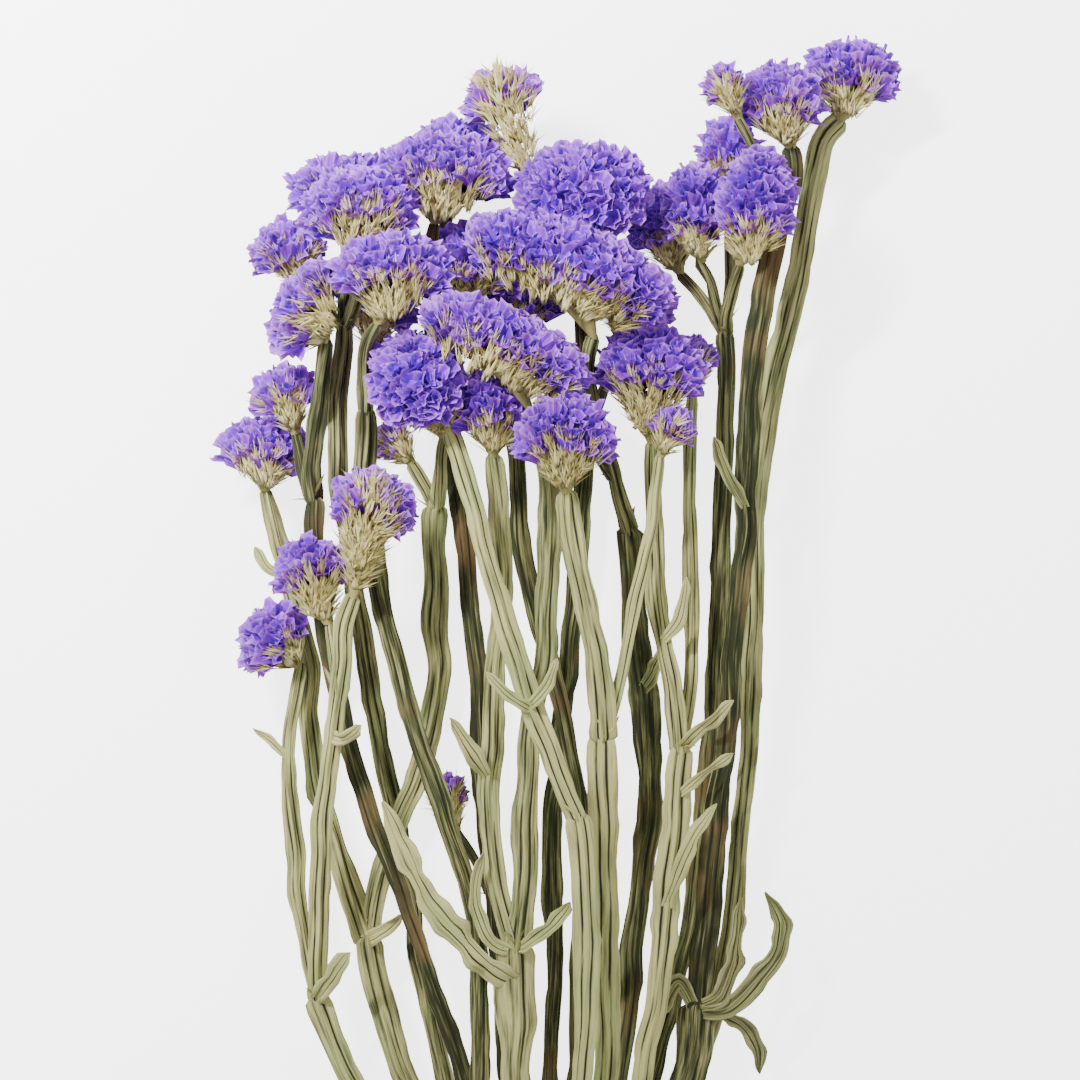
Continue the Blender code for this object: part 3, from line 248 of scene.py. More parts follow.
# Each head: its stem and limb, the middle of its bract rim, the way it faces, its long direction
# or None, the rim's half sizes, and the dome's half sizes and height.
HEADS = {
    "head_top_spike": ("stem_back_centre", 2, (-11, 423, 31), (-0.35, 0.92, 0.12), None,
        (9.0, 6.0), (10.5, 7.0, 9.0)),
    "head_big_dome": ("stem_back_centre", 1, (13, 394, 38), (0.0, 0.5, 0.87), None,
        (11.0, 9.0), (18.0, 13.5, 14.0)),
    "head_back_right": ("stem_back_centre", 3, (27, 361, 12), (0.3, 0.93, 0.2), None,
        (6.5, 6.0), (11.0, 8.5, 15.0)),
    "head_fan_left": ("stem_back_left", 1, (-29, 395, 37), (0.05, 0.98, 0.15), None,
        (9.5, 6.5), (18.5, 9.0, 18.0)),
    "head_shaded_centre": ("stem_back_left", 2, (-20, 372, 24), (0.25, 0.92, 0.3), None,
        (8.0, 5.5), (15.0, 8.0, 14.0)),
    "head_behind_fan": ("stem_back_left", 3, (-25, 406, 18), (0.0, 0.98, 0.15), None,
        (6.5, 5.5), (12.5, 8.5, 13.0)),
    "head_tiny_low": ("stem_back_left", 4, (-27.5, 212, 10.5), (-0.2, 0.97, 0.0), None,
        (3.0, 3.0), (4.5, 4.5, 8.0)),
    "head_long_upper": ("stem_right_wide", 1, (7, 367, 54), (0.33, 0.92, 0.2), (0.94, -0.34, 0.0),
        (24.0, 5.5), (30.0, 8.0, 18.0)),
    "head_small_front": ("stem_right_wide", 2, (9, 337, 31), (-0.2, 0.85, 0.45), None,
        (3.0, 3.0), (4.6, 4.6, 6.0)),
    "head_long_lower": ("stem_broad_centre", 2, (-12, 345, 55), (0.42, 0.9, 0.2),
        (-0.9, 0.42, 0.0), (19.0, 5.0), (25.0, 7.5, 15.0)),
    "head_round_centre": ("stem_broad_centre", 1, (-15, 327, 41), (-0.1, 0.95, 0.2), None,
        (5.6, 5.0), (10.0, 7.5, 15.0)),
    "head_facing_left": ("stem_bright_left", 1, (-36, 338, 46), (-0.3, 0.45, 0.84), None,
        (7.5, 8.5), (12.0, 14.0, 13.0)),
    "head_front": ("stem_bright_right", 1, (7.5, 317, 58), (0.0, 0.95, 0.25), None,
        (8.0, 5.5), (13.0, 8.0, 17.0)),
    "head_small_right": ("stem_bright_right", 2, (39, 324, 46), (0.4, 0.85, 0.2), None,
        (3.2, 3.2), (5.2, 5.0, 7.0)),
    "head_right_middle": ("stem_right_forked", 1, (32.5, 336, 40), (0.1, 0.97, 0.2), None,
        (9.0, 6.0), (14.0, 8.5, 19.0)),
    "head_right_inner": ("stem_right_forked", 2, (46, 344, 25), (0.0, 0.97, 0.2), None,
        (3.8, 3.8), (5.8, 5.6, 9.0)),
    "head_right_crown": ("stem_right_leafy", 1, (73, 418, 30), (-0.12, 0.97, 0.12), None,
        (7.0, 6.0), (11.0, 9.0, 17.0)),
    "head_right_side": ("stem_right_leafy", 2, (55.5, 426, 42), (-0.4, 0.9, 0.15), None,
        (3.2, 3.2), (5.0, 4.6, 7.0)),
    "head_right_outer": ("stem_right_tall", 0, (94, 427, 17), (0.05, 0.98, 0.1), None,
        (7.5, 6.0), (13.0, 9.0, 16.0)),
    "head_group_left": ("stem_right_group", 1, (47, 384, 29), (-0.02, 0.97, 0.2), None,
        (5.0, 5.0), (9.0, 7.4, 20.0)),
    "head_group_right": ("stem_right_group", 2, (63.5, 383, 44), (0.12, 0.95, 0.15), None,
        (6.0, 5.5), (10.0, 8.0, 25.0)),
    "head_group_low": ("stem_right_group", 3, (39, 382, 10), (-0.15, 0.98, 0.05), None,
        (5.5, 5.0), (9.0, 10.2, 18.0)),
    "head_group_back": ("stem_right_group", 4, (57.5, 406, 12), (0.0, 0.98, 0.1), None,
        (5.0, 5.0), (7.6, 7.6, 14.0)),
    "head_left_fan": ("stem_smooth_outer", 1, (-53, 384, 43), (-0.1, 0.97, 0.12), None,
        (8.5, 6.0), (16.0, 9.0, 18.0)),
    "head_left_edge": ("stem_smooth_outer", 2, (-75, 376, 22), (-0.3, 0.95, 0.1), None,
        (5.5, 5.0), (9.5, 8.0, 12.0)),
    "head_left_back": ("stem_smooth_outer", 3, (-60, 395, 11.4), (-0.1, 0.98, 0.05), None,
        (8.0, 6.0), (15.0, 11.6, 14.0)),
    "head_left_inner": ("stem_smooth_inner", 1, (-43.5, 366, 52), (0.0, 0.97, 0.15), None,
        (8.5, 5.0), (15.5, 7.5, 16.0)),
    "head_left_shaded": ("stem_smooth_inner", 2, (-49.5, 359, 14), (0.1, 0.95, -0.2), None,
        (4.5, 4.5), (9.5, 8.0, 15.0)),
    "head_left_spike": ("stem_left_dark", 1, (-66, 359, 45), (-0.82, 0.5, 0.1),
        (0.5, 0.82, 0.0), (9.0, 5.0), (14.0, 7.5, 12.0)),
    "head_left_small": ("stem_left_dark", 2, (-76, 333, 28), (-0.25, 0.95, 0.1), None,
        (4.6, 4.6), (8.0, 7.0, 11.0)),
    "head_far_left": ("stem_left_low", 1, (-83, 314, 19), (0.1, 0.98, 0.1), None,
        (7.0, 6.0), (13.0, 8.5, 14.0)),
    "head_left_tiny": ("stem_left_low", 3, (-43, 320, 22), (-0.7, 0.7, 0.0), None,
        (3.2, 3.2), (5.0, 5.0, 8.0)),
    "head_below_facing": ("stem_left_low", 4, (-33, 332, 27), (-0.4, 0.9, 0.0), None,
        (4.5, 4.5), (10.0, 7.5, 17.0)),
    "head_pyramid": ("stem_left_outer", 2, (-51, 297, 46), (0.25, 0.95, 0.12), None,
        (6.5, 6.0), (11.0, 8.5, 15.0)),
    "head_left_lobe": ("stem_left_outer", 3, (-68, 279, 41), (-0.15, 0.98, 0.1), None,
        (6.0, 5.0), (9.5, 7.0, 13.0)),
    "head_left_round": ("stem_left_outer", 1, (-77, 259, 23), (-0.72, 0.66, 0.15), None,
        (6.0, 5.5), (10.0, 9.0, 13.0)),
    "head_under_centre": ("stem_under", 1, (-5, 361, 12), (0.05, 0.97, 0.05), None,
        (6.5, 6.0), (11.0, 9.0, 16.0)),
    "head_under_left": ("stem_under", 2, (-18.5, 353, 10), (-0.4, 0.9, 0.0), None,
        (4.2, 4.2), (8.5, 7.5, 14.0)),
}

# How far each stem leans to brown (below 0) or to pale yellow green (above 0); the low values of the
# back stems, stem_back_centre and stem_back_left, also paint the shade they lie in.
STEM_TINT_AND_SHADE = {
    "stem_left_outer": 0.25, "stem_left_low": 0.1, "stem_left_dark": -0.45,
    "stem_smooth_inner": -0.1, "stem_smooth_outer": -0.2, "stem_broad_centre": 0.2,
    "stem_bright_left": 0.6, "stem_bright_right": 0.45, "stem_right_wide": -0.2,
    "stem_right_forked": 0.4, "stem_right_leafy": -0.35, "stem_right_tall": 0.35,
    "stem_right_group": -0.1, "stem_back_centre": -0.4, "stem_back_left": -0.6,
    "stem_under": -0.3,
}

# The share of a head's height up to which straw spikelets cover the viewer's side of it.
USUAL_BIB = 0.34
BIBS = {
    "head_top_spike": 0.95, "head_pyramid": 0.8, "head_left_spike": 0.4, "head_big_dome": 0.0,
    "head_facing_left": 0.0, "head_round_centre": 0.05, "head_left_round": 0.1,
    "head_shaded_centre": 0.05, "head_group_low": 0.05, "head_group_left": 0.1,
    "head_group_right": 0.12, "head_group_back": 0.05, "head_behind_fan": 0.0,
    "head_long_upper": 0.2, "head_long_lower": 0.3, "head_left_fan": 0.4, "head_fan_left": 0.4,
    "head_below_facing": 0.0, "head_under_centre": 0.0, "head_left_shaded": 0.0,
    "head_back_right": 0.05,
}
# How far below the rim the spikelets begin, where that isn't three quarters of the cup.
SPIKELET_LOW = {
    "head_top_spike": -24.0, "head_pyramid": -14.0, "head_long_upper": -7.0, "head_long_lower": -7.0,
}
# A dome or a rim with a half length above these is a long head's, with a keel in place of a cup.
LONG_DOME = 20.0
LONG_RIM = 15.0


# Meshes.

class Batch:
    """Gathers closed surfaces, with a few numbers for each point, into one object."""

    def __init__(self):
        self.points = []
        self.quads = []
        self.triangles = []
        self.values = {"along": [], "across": [], "tint": []}
        self.count = 0

    def add(self, points, quads, triangles, along, across, tint):
        """points is (n, 3); quads and triangles index it; the rest is one number a point."""
        total = len(points)
        self.points.append(points)
        self.quads.append(np.asarray(quads, np.int64).reshape(-1, 4) + self.count)
        self.triangles.append(np.asarray(triangles, np.int64).reshape(-1, 3) + self.count)
        for key, value in (("along", along), ("across", across), ("tint", tint)):
            self.values[key].append(np.broadcast_to(np.asarray(value, float), (total,)))
        self.count += total

    def make(self, name, material, smooth):
        """One object of all points, moved into the frame, with none below the table top."""
        points = (np.concatenate(self.points) + SHIFT) * MM
        points[:, 2] = np.maximum(points[:, 2], 0.0)
        quads = np.concatenate(self.quads)
        triangles = np.concatenate(self.triangles)
        mesh = bpy.data.meshes.new(name)
        mesh.vertices.add(len(points))
        mesh.vertices.foreach_set("co", points.astype(np.float32).ravel())
        corners = np.concatenate([quads.ravel(), triangles.ravel()])
        sizes = np.concatenate([np.full(len(quads), 4), np.full(len(triangles), 3)])
        starts = np.concatenate([[0], np.cumsum(sizes)[:-1]])
        mesh.loops.add(len(corners))
        mesh.loops.foreach_set("vertex_index", corners.astype(np.int32))
        mesh.polygons.add(len(sizes))
        mesh.polygons.foreach_set("loop_start", starts.astype(np.int32))
        mesh.polygons.foreach_set("use_smooth", np.full(len(sizes), smooth))
        mesh.update(calc_edges=True)
        for key, parts in self.values.items():
            layer = mesh.attributes.new(key, "FLOAT", "POINT")
            layer.data.foreach_set("value", np.concatenate(parts).astype(np.float32))
        mesh.validate()
        mesh.materials.append(material)
        made = bpy.data.objects.new(name, mesh)
        bpy.context.scene.collection.objects.link(made)
        return made


def unit(vectors):
    """Vectors divided by their own lengths."""
    vectors = np.asarray(vectors, float)
    return vectors / np.linalg.norm(vectors, axis=-1, keepdims=True)


def angles(sides):
    """The angle of each side of a ring: 2 pi k / n."""
    return 2 * np.pi * np.arange(sides) / sides


def fan(first, sides, pole, upward):
    """Triangles that close a ring to a pole."""
    side = np.arange(sides)
    after = (side + 1) % sides
    low = np.full(sides, pole)
    if upward:
        return np.stack([first + side, first + after, low], axis=-1)
    return np.stack([first + after, first + side, low], axis=-1)


def stack_faces(rings, sides, inverted):
    """Quads and caps of a closed stack of rings, whose two poles are the points after the rings."""
    ring = np.arange(rings - 1)[:, None] * sides
    side = np.arange(sides)[None, :]
    after = (side + 1) % sides
    quads = np.stack([ring + side, ring + after, ring + sides + after, ring + sides + side], axis=-1)
    quads = quads.reshape(-1, 4)
    last = rings * sides
    caps = np.concatenate([
        fan(0, sides, last, inverted),
        fan(last - sides, sides, last + 1, not inverted),
    ])
    return (quads[:, ::-1] if inverted else quads), caps


def gaps(route):
    """The distance from each point of a route to the next."""
    return np.linalg.norm(np.diff(route, axis=0), axis=1)


def run_along(route):
    """The distance from a route's start to each of its points."""
    return np.concatenate([[0], np.cumsum(gaps(route))])


def each_side(share, pair):
    """For each ring, the first of a pair where share is above 0 and the second elsewhere."""
    return np.where(share[None, :] > 0, pair[0][:, None], pair[1][:, None])


def wander(length, count, step, rng):
    """Smooth noise of about unit size: random knots about every step along the length, each
    blended into the next by 3 t^2 - 2 t^3."""
    knots = rng.normal(0.0, 1.0, max(3, int(length / step) + 3))
    place = np.linspace(0, len(knots) - 1.001, count)
    low = place.astype(int)
    t = place - low
    t = t * t * (3 - 2 * t)
    return knots[low] * (1 - t) + knots[low + 1] * t


def smooth_route(points, straight_start, step):
    """Evenly fine points on a curve through the knots. Between two knots it is the cubic Hermite
    blend of both and of their slopes, and a slope is half the step from the knot before to the
    knot after."""
    knots = np.array(points, float)
    last = len(knots) - 1
    slopes = np.empty_like(knots)
    for i in range(last + 1):
        slopes[i] = (knots[min(i + 1, last)] - knots[max(i - 1, 0)]) / 2
    if straight_start:
        slopes[0] = knots[1] - knots[0]
        slopes[1] = (knots[1] - knots[0]) * 0.8
    route = []
    places = []
    for i in range(last):
        count = max(2, round(np.linalg.norm(knots[i + 1] - knots[i]) / step))
        t = (np.arange(count) / count)[:, None]
        route.append(
            (2 * t**3 - 3 * t**2 + 1) * knots[i]
            + (t**3 - 2 * t**2 + t) * slopes[i]
            + (3 * t**2 - 2 * t**3) * knots[i + 1]
            + (t**3 - t**2) * slopes[i + 1]
        )
        places.append((i + t[:, 0]) / last)
    route.append(knots[last:])
    places.append(np.ones(1))
    return np.concatenate(route), np.concatenate(places)


def frames_along(route, roll):
    """Directions along a route: side is forward x Z and up is side x forward, both turned about
    the route by roll."""
    forward = unit(np.gradient(route, axis=0))
    side = unit(np.cross(forward, [0.0, 0.0, 1.0]))
    up = np.cross(side, forward)
    turn = roll[:, None]
    return side * np.cos(turn) + up * np.sin(turn), up * np.cos(turn) - side * np.sin(turn)


def add_tube(batch, route, side, up, profile_s, profile_u, across, tint):
    """A closed tube: point(i, k) = route(i) + side(i) s(i, k) + up(i) u(i, k)."""
    rings, sides = profile_s.shape
    points = (
        route[:, None, :]
        + side[:, None, :] * profile_s[..., None]
        + up[:, None, :] * profile_u[..., None]
    ).reshape(-1, 3)
    run = run_along(route)
    batch.add(
        np.concatenate([points, route[[0, -1]]]),
        *stack_faces(rings, sides, True),
        np.concatenate([np.repeat(run, sides), [0, run[-1]]]),
        np.concatenate([np.tile(across, rings), [0, 0]]),
        tint,
    )


# One point of the stem's outline: share of the half width, then core radii sideways and upward,
# then millimetres upward.
STEM_OUTLINE = np.array([
    (1.00, 0.00, 0.00, 0.10), (0.72, 0.10, 0.00, 0.16), (0.30, 0.50, 0.20, 0.10),
    (0.00, 0.62, 0.78, 0.00), (0.00, 0.34, 0.80, 0.00), (0.00, 0.14, 1.25, 0.25),
    (0.00, -0.14, 1.25, 0.25), (0.00, -0.34, 0.80, 0.00), (0.00, -0.62, 0.78, 0.00),
    (-0.30, -0.50, 0.20, 0.10), (-0.72, -0.10, 0.00, 0.16), (-1.00, 0.00, 0.00, 0.10),
    (-1.00, 0.00, 0.00, -0.10), (-0.60, -0.20, 0.00, -0.20), (0.00, -0.80, -0.70, 0.00),
    (0.00, 0.00, -1.20, 0.00), (0.00, 0.80, -0.70, 0.00), (0.60, 0.20, 0.00, -0.20),
    (1.00, 0.00, 0.00, -0.10),
])


def add_limb(batch, points, span_start, span_end, straight_start, tint, rng):
    """A winged limb on a smooth route that wanders by noise. A wing's half width is half the span
    times 1 + noise, tapered by a square root at the limb's ends. The core's radius grows in a
    straight line with the span. A wing rises and falls by noise times the distance from the
    limb's middle."""
    route, places = smooth_route(points, straight_start, LIMB_STEP)
    count = len(route)
    length = gaps(route).sum()
    free = np.ones(count)
    if straight_start:
        free = np.clip((route[:, 1] - PINNED_BELOW) / 30, 0, 1)
    span = span_start + (span_end - span_start) * places * free
    for axis in (0, 2):
        route[:, axis] += 0.35 * wander(length, count, 14.0, rng) * free * np.minimum(1, places * 8)
    roll = 0.3 * wander(length, count, 45.0, rng) * free
    side, up = frames_along(route, roll)
    half = span / 2
    run = run_along(route)
    taper = np.sqrt(np.clip((run[-1] - run + 0.5) / TAPER, 0.05, 1))
    if not straight_start:
        taper = taper * np.sqrt(np.clip((run + 0.8) / TAPER, 0.2, 1))
    wings = []
    lifts = []
    for _ in range(2):
        waves = 0.11 * wander(length, count, 22.0, rng) + 0.06 * wander(length, count, 5.0, rng)
        wings.append(half * np.clip(1 + free * waves, 0.55, 1.3) * taper)
        lifts.append(free * 0.05 * half * wander(length, count, 13.0, rng))
    share, core_s, core_u, lift = STEM_OUTLINE.T
    core = CORE_R * (0.75 + 0.05 * span) * (0.3 + 0.7 * taper)
    profile_s = each_side(share, wings) * share + core[:, None] * core_s
    profile_s = np.clip(profile_s, -wings[1][:, None], wings[0][:, None])
    ripple = each_side(share, lifts) * np.abs(share) * 1.6
    profile_u = core[:, None] * core_u + lift + ripple
    across = np.clip(share * 0.8 + core_s * 0.35, -1, 1)
    add_tube(batch, route, side, up, profile_s, profile_u, across, tint)


def add_leaf(batch, points, width, tint, rng):
    """A dry strap leaf, a little twisted. Its half width is a sine of the way along, cut short at
    the tip. It folds upward as the square of the share of the width, and its edges ripple by
    noise."""
    route, places = smooth_route(points, False, LEAF_STEP)
    count = len(route)
    length = gaps(route).sum()
    roll = 0.5 * wander(length, count, 25.0, rng) * places
    side, up = frames_along(route, roll)
    half = 0.5 * width * (0.5 + 0.55 * np.sin(np.pi * np.clip(places * 0.82 + 0.12, 0, 1)))
    half = (half * np.clip((1.02 - places) * 7, 0.08, 1))[:, None]
    share = np.array([1.0, 0.55, 0.0, -0.55, -1.0, -1.0, -0.55, 0.0, 0.55, 1.0])
    upper = np.repeat([0.16, -0.16], 5)
    edge = [1 + 0.2 * wander(length, count, 4.5, rng) for _ in range(2)]
    ripple = [0.3 * wander(length, count, 6.0, rng) for _ in range(2)]
    profile_s = each_side(share, edge) * half * share
    wave = each_side(share, ripple) * half * np.abs(share) * 1.5
    profile_u = upper + half * 0.3 * share**2 + wave
    add_tube(batch, route, side, up, profile_s, profile_u, share, tint)


# Heads.

def head_axes(facing, long_way):
    """The unit directions of a head: along its length, which is made square to out, across it,
    which is out x along, and out of it."""
    out = unit(facing)
    if long_way is None:
        along = np.cross(out, [0.0, 0.0, 1.0])
    else:
        along = np.array(long_way, float)
    along = unit(along - out * (along @ out))
    return along, np.cross(out, along), out


def dome_points(sizes, spacing, lowest, rng):
    """Points about one spacing apart on the ellipsoid (u/a)^2 + (v/b)^2 + ((w - w0)/c)^2 = 1, on
    a golden spiral with noise, and their normals. None is lower than lowest on the unit ball."""
    wide, deep, tall = sizes
    middle = MIDDLE_SHARE * tall
    top = tall - middle
    mean = (((wide * deep) ** 1.6 + (wide * top) ** 1.6 + (deep * top) ** 1.6) / 3) ** (1 / 1.6)
    count = int(4 * np.pi * mean / spacing**2)
    index = np.arange(count) + 0.5
    height = 1 - 2 * index / count
    turn = np.pi * (1 + 5**0.5) * index + rng.uniform(0, 6.28)
    spread = np.sqrt(1 - height**2)
    ball = np.stack([spread * np.cos(turn), spread * np.sin(turn), height], axis=-1)
    ball = unit(ball + rng.normal(0, 0.35 * spacing / max(sizes), ball.shape))
    ball = ball[ball[:, 2] > lowest]
    scale = np.array([wide, deep, top])
    points = ball * scale + [0, 0, middle]
    return points, unit(ball / scale)


def add_copies(batch, rings, poles, inverted, along, across, tint):
    """Many closed shapes: rings is (shape, ring, side, 3); along and across are one shape's."""
    count, levels, sides = rings.shape[:3]
    each = levels * sides + 2
    points = np.concatenate([rings.reshape(count, -1, 3), np.stack(poles, axis=1)], axis=1)
    offset = (np.arange(count) * each)[:, None, None]
    quads, caps = stack_faces(levels, sides, inverted)
    batch.add(
        points.reshape(-1, 3),
        quads + offset,
        caps + offset,
        np.tile(along, count),
        np.tile(across, count),
        np.repeat(tint, each),
    )


def add_funnels(batch, base, axis, length, radius, tint, rng):
    """Pleated calyx skirts, rings of radius r and height h round an axis. At angle a and frill f,
    r = R reach (1 + f (0.10 cos 8a + lobes + noise)) and h = L rise + R f (lobes + noise). The
    last ring turns back inside, which closes a thin crinkled rim."""
    sides = 2 * PLEATS
    count = len(base)
    helper = unit(rng.normal(0, 1, (count, 3)))
    a = unit(np.cross(axis, helper))
    b = np.cross(axis, a)
    reach = np.array([0.14, 0.60, 1.0, 0.55])
    rise = np.array([0.0, 0.55, 1.0, 0.62])
    frill = np.array([0.1, 0.6, 1.0, 0.6])
    angle = angles(sides)
    pleat = np.cos(PLEATS * angle)
    lobe = np.cos(
        angle[None, :] * rng.integers(2, 4, count)[:, None] + rng.uniform(0, 6.28, (count, 1))
    )
    rough = rng.normal(0, 1, (count, sides))
    lift = rng.normal(0, 1, (count, sides))
    swing = 1 + frill[None, :, None] * (
        0.10 * pleat[None, None, :] + 0.20 * lobe[:, None, :] + 0.07 * rough[:, None, :]
    )
    r = radius[:, None, None] * reach[None, :, None] * swing
    wave = 0.20 * lobe[:, None, :] + 0.13 * lift[:, None, :]
    h = length[:, None, None] * rise[None, :, None]
    h = h + radius[:, None, None] * frill[None, :, None] * wave
    rings = (
        base[:, None, None, :]
        + a[:, None, None, :] * (r * np.cos(angle))[..., None]
        + b[:, None, None, :] * (r * np.sin(angle))[..., None]
        + axis[:, None, None, :] * h[..., None]
    )
    foot = base - axis * 0.1
    throat = base + axis * (length * 0.5)[:, None]
    # along is 0 at the foot, 1 at the rim, 0.5 on the inner ring and 0.2 at the throat: the violet
    # material paints shade where it is low and highlights near the rim. across is the pleat, whose
    # ridges get painted highlights.
    grade = np.concatenate([np.repeat([0.0, 0.55, 1.0, 0.5], sides), [0.0, 0.2]])
    pleat_highlight = np.concatenate([np.tile(pleat, len(reach)), [0.0, 0.0]])
    add_copies(batch, rings, (foot, throat), False, grade, pleat_highlight, tint)


def add_blades(batch, base, axis, bend, length, width, thick, tint):
    """Pointed scales: c(t) = base + axis L t + bend L t^2, widest a third of the way up."""
    side = unit(np.cross(axis, bend))
    up = np.cross(side, axis)
    steps = np.array([0.0, 0.3, 0.65])
    swell = np.array([0.55, 1.0, 0.62])
    centre = (
        base[:, None, :]
        + axis[:, None, :] * (length[:, None] * steps)[..., None]
        + bend[:, None, :] * (length[:, None] * steps**2)[..., None]
    )
    wide = (width[:, None] * swell)[..., None] / 2
    deep = (thick[:, None] * swell)[..., None] / 2
    s = side[:, None, :]
    u = up[:, None, :]
    rings = np.stack([
        centre + s * wide, centre + u * deep, centre - s * wide, centre - u * deep,
    ], axis=2)
    tip = base + axis * length[:, None] + bend * length[:, None]
    grade = np.concatenate([np.repeat(steps, 4), [0.0, 1.0]])
    add_copies(batch, rings, (base, tip), True, grade, 0 * grade, tint)


def cup_sizes(sizes, grow):
    """Half sizes of a cup between foot and rim: foot + (rim - foot) grow."""
    return [CUP_FOOT + (size - CUP_FOOT) * grow for size in sizes]


def add_bracts(batch, foot, rim, axes, sizes, rng):
    """Overlapping pointed bracts and fine bristles over the cup from foot to rim. Each starts
    just inside the ellipse along wide cos t + across deep sin t of its level, and points out of
    the head and away from the cup's middle, with noise."""
    along, across, out = axes
    foot = np.array(foot, float)
    rim = np.array(rim, float)
    height = np.linalg.norm(rim - foot)
    girth = math.pi * (sizes[0] + sizes[1])
    for kind in ("scale", "bristle"):
        density = 0.2 if kind == "scale" else 0.22
        count = int(12 + density * girth * max(height, 6.0))
        level = rng.uniform(0.05, 1.0, count) ** (0.3 if sizes[0] > LONG_RIM else 0.75)
        turn = rng.uniform(0, 2 * math.pi, count)
        grow = np.clip(level * 1.15, 0, 1) ** 0.9
        wide, deep = cup_sizes(sizes, grow)
        ring = along * np.cos(turn)[:, None] * wide[:, None]
        ring = ring + across * np.sin(turn)[:, None] * deep[:, None]
        base = foot + (rim - foot) * level[:, None] + ring * 0.86
        radial = unit(ring)
        lean = 0.45 + 0.35 * level
        axis = unit(out + radial * lean[:, None] + rng.normal(0, 0.22, (count, 3)))
        bend = radial * rng.uniform(0.05, 0.3, count)[:, None]
        tint = rng.uniform(0, 1, count)
        if kind == "scale":
            length = rng.uniform(3.6, 6.4, count)
            width = rng.uniform(1.3, 2.4, count)
            add_blades(batch, base, axis, bend, length, width, width * 0.34, tint)
        else:
            length = rng.uniform(3.5, 7.0, count)
            width = rng.uniform(0.22, 0.4, count)
            axis = unit(axis + radial * 0.35)
            add_blades(batch, base, axis, bend, length, width, width, 0.35 + 0.65 * tint)


def add_tufts(batch, rim, axes, dome, top, low, rng):
    """Spikelets of stiff needles on the viewer's side of a head, from w = low up to w = top.
    Sideways they are spread by golden steps of 0.618, within a width that narrows away from the
    rim, where w is 0, and their depth is v = deep (0.45 + 0.4 spread) sqrt(1 - u^2)."""
    along, across, out = axes
    wide, deep = dome[:2]
    front = across * np.sign(across[2])
    count = int(0.055 * 2 * wide * (top - low)) + 4
    place = (np.arange(count) + 0.5) / count
    w = low + (top - low) * place
    long_head = wide > LONG_DOME
    narrowing = 0.25 if long_head else 0.8
    dome_edge = np.sqrt(np.clip(1 - 0.85 * (w / max(top, 0.1)) ** 2, 0, 1))
    spread = np.where(w > 0, dome_edge, 1 - narrowing * w / low)
    scatter = (np.arange(count) * 0.618 + rng.uniform()) % 1
    u = (0.9 if long_head else 0.74) * spread * (2 * scatter - 1)
    v = deep * (0.45 + 0.4 * spread) * np.sqrt(1 - u * u)
    centre = np.array(rim, float) + along * (wide * u)[:, None]
    centre = centre + front * v[:, None] + out * w[:, None]
    lean = np.repeat(u, NEEDLES)[:, None]
    total = count * NEEDLES
    base = np.repeat(centre, NEEDLES, axis=0) + rng.normal(0, 0.45, (total, 3))
    clump = np.repeat(rng.normal(0, 0.2, (count, 3)), NEEDLES, axis=0)
    axis = unit(out + along * lean * 0.8 + front * 0.3 + clump + rng.normal(0, 0.26, (total, 3)))
    bend = (along * lean + front * 0.3) * rng.uniform(-0.1, 0.4, total)[:, None]
    length = rng.uniform(3.2, 8.4, total)
    width = rng.uniform(0.45, 0.95, total)
    shade = np.repeat(rng.uniform(0.3, 0.9, count), NEEDLES) + rng.normal(0, 0.2, total)
    add_blades(batch, base, axis, bend, length, width, width * 0.5, np.clip(shade, 0, 1))


def add_core(batch, foot, rim, axes, sizes, tint):
    """The solid cone under the bracts: ellipses along cos a + across sin a from foot to rim, with
    the half sizes of the cup where it has grown by each share."""
    along, across, out = axes
    angle = angles(ROUND_SIDES)
    foot = np.array(foot, float)
    rim = np.array(rim, float)
    rings = []
    keel = 0.16 if sizes[0] > LONG_RIM else 0.42
    for level, grow in ((0.0, 0.0), (0.45, keel), (0.9, 0.68), (1.0, 0.55)):
        wide, deep = cup_sizes(sizes, grow)
        rings.append(
            foot + (rim - foot) * level
            + along * (np.cos(angle) * wide)[:, None]
            + across * (np.sin(angle) * deep)[:, None]
        )
    points = np.concatenate(rings + [foot[None] - out * 0.2, rim[None] + out * 0.3])
    batch.add(points, *stack_faces(len(rings), ROUND_SIDES, False), 0.2, 0.0, tint)


def add_kernel(batch, rim, axes, sizes):
    """The plain violet heart of a head, which closes the gaps between its funnels: an ellipsoid
    KERNEL_SHARE the size of the dome, whose rings narrow as sqrt(1 - rise^2)."""
    wide, deep, tall = sizes
    middle = MIDDLE_SHARE * tall
    angle = angles(ROUND_SIDES)
    rings = []
    for rise in (-0.75, -0.3, 0.25, 0.65, 0.9):
        spread = KERNEL_SHARE * math.sqrt(1 - rise * rise)
        w = middle + KERNEL_SHARE * rise * (tall - middle if rise > 0 else middle)
        u = wide * spread * np.cos(angle)
        v = deep * spread * np.sin(angle)
        rings.append(np.stack([u, v, np.full(ROUND_SIDES, w)], axis=-1))
    poles = np.array([[0, 0, middle * 0.3], [0, 0, middle + 0.7 * (tall - middle)]])
    points = np.array(rim, float) + np.concatenate(rings + [poles]) @ np.stack(axes)
    # Its along of 0.4 gives it a trace of the painted tube shade of the violet material.
    batch.add(points, *stack_faces(len(rings), ROUND_SIDES, False), 0.4, 0.0, 0.0)


# Materials.

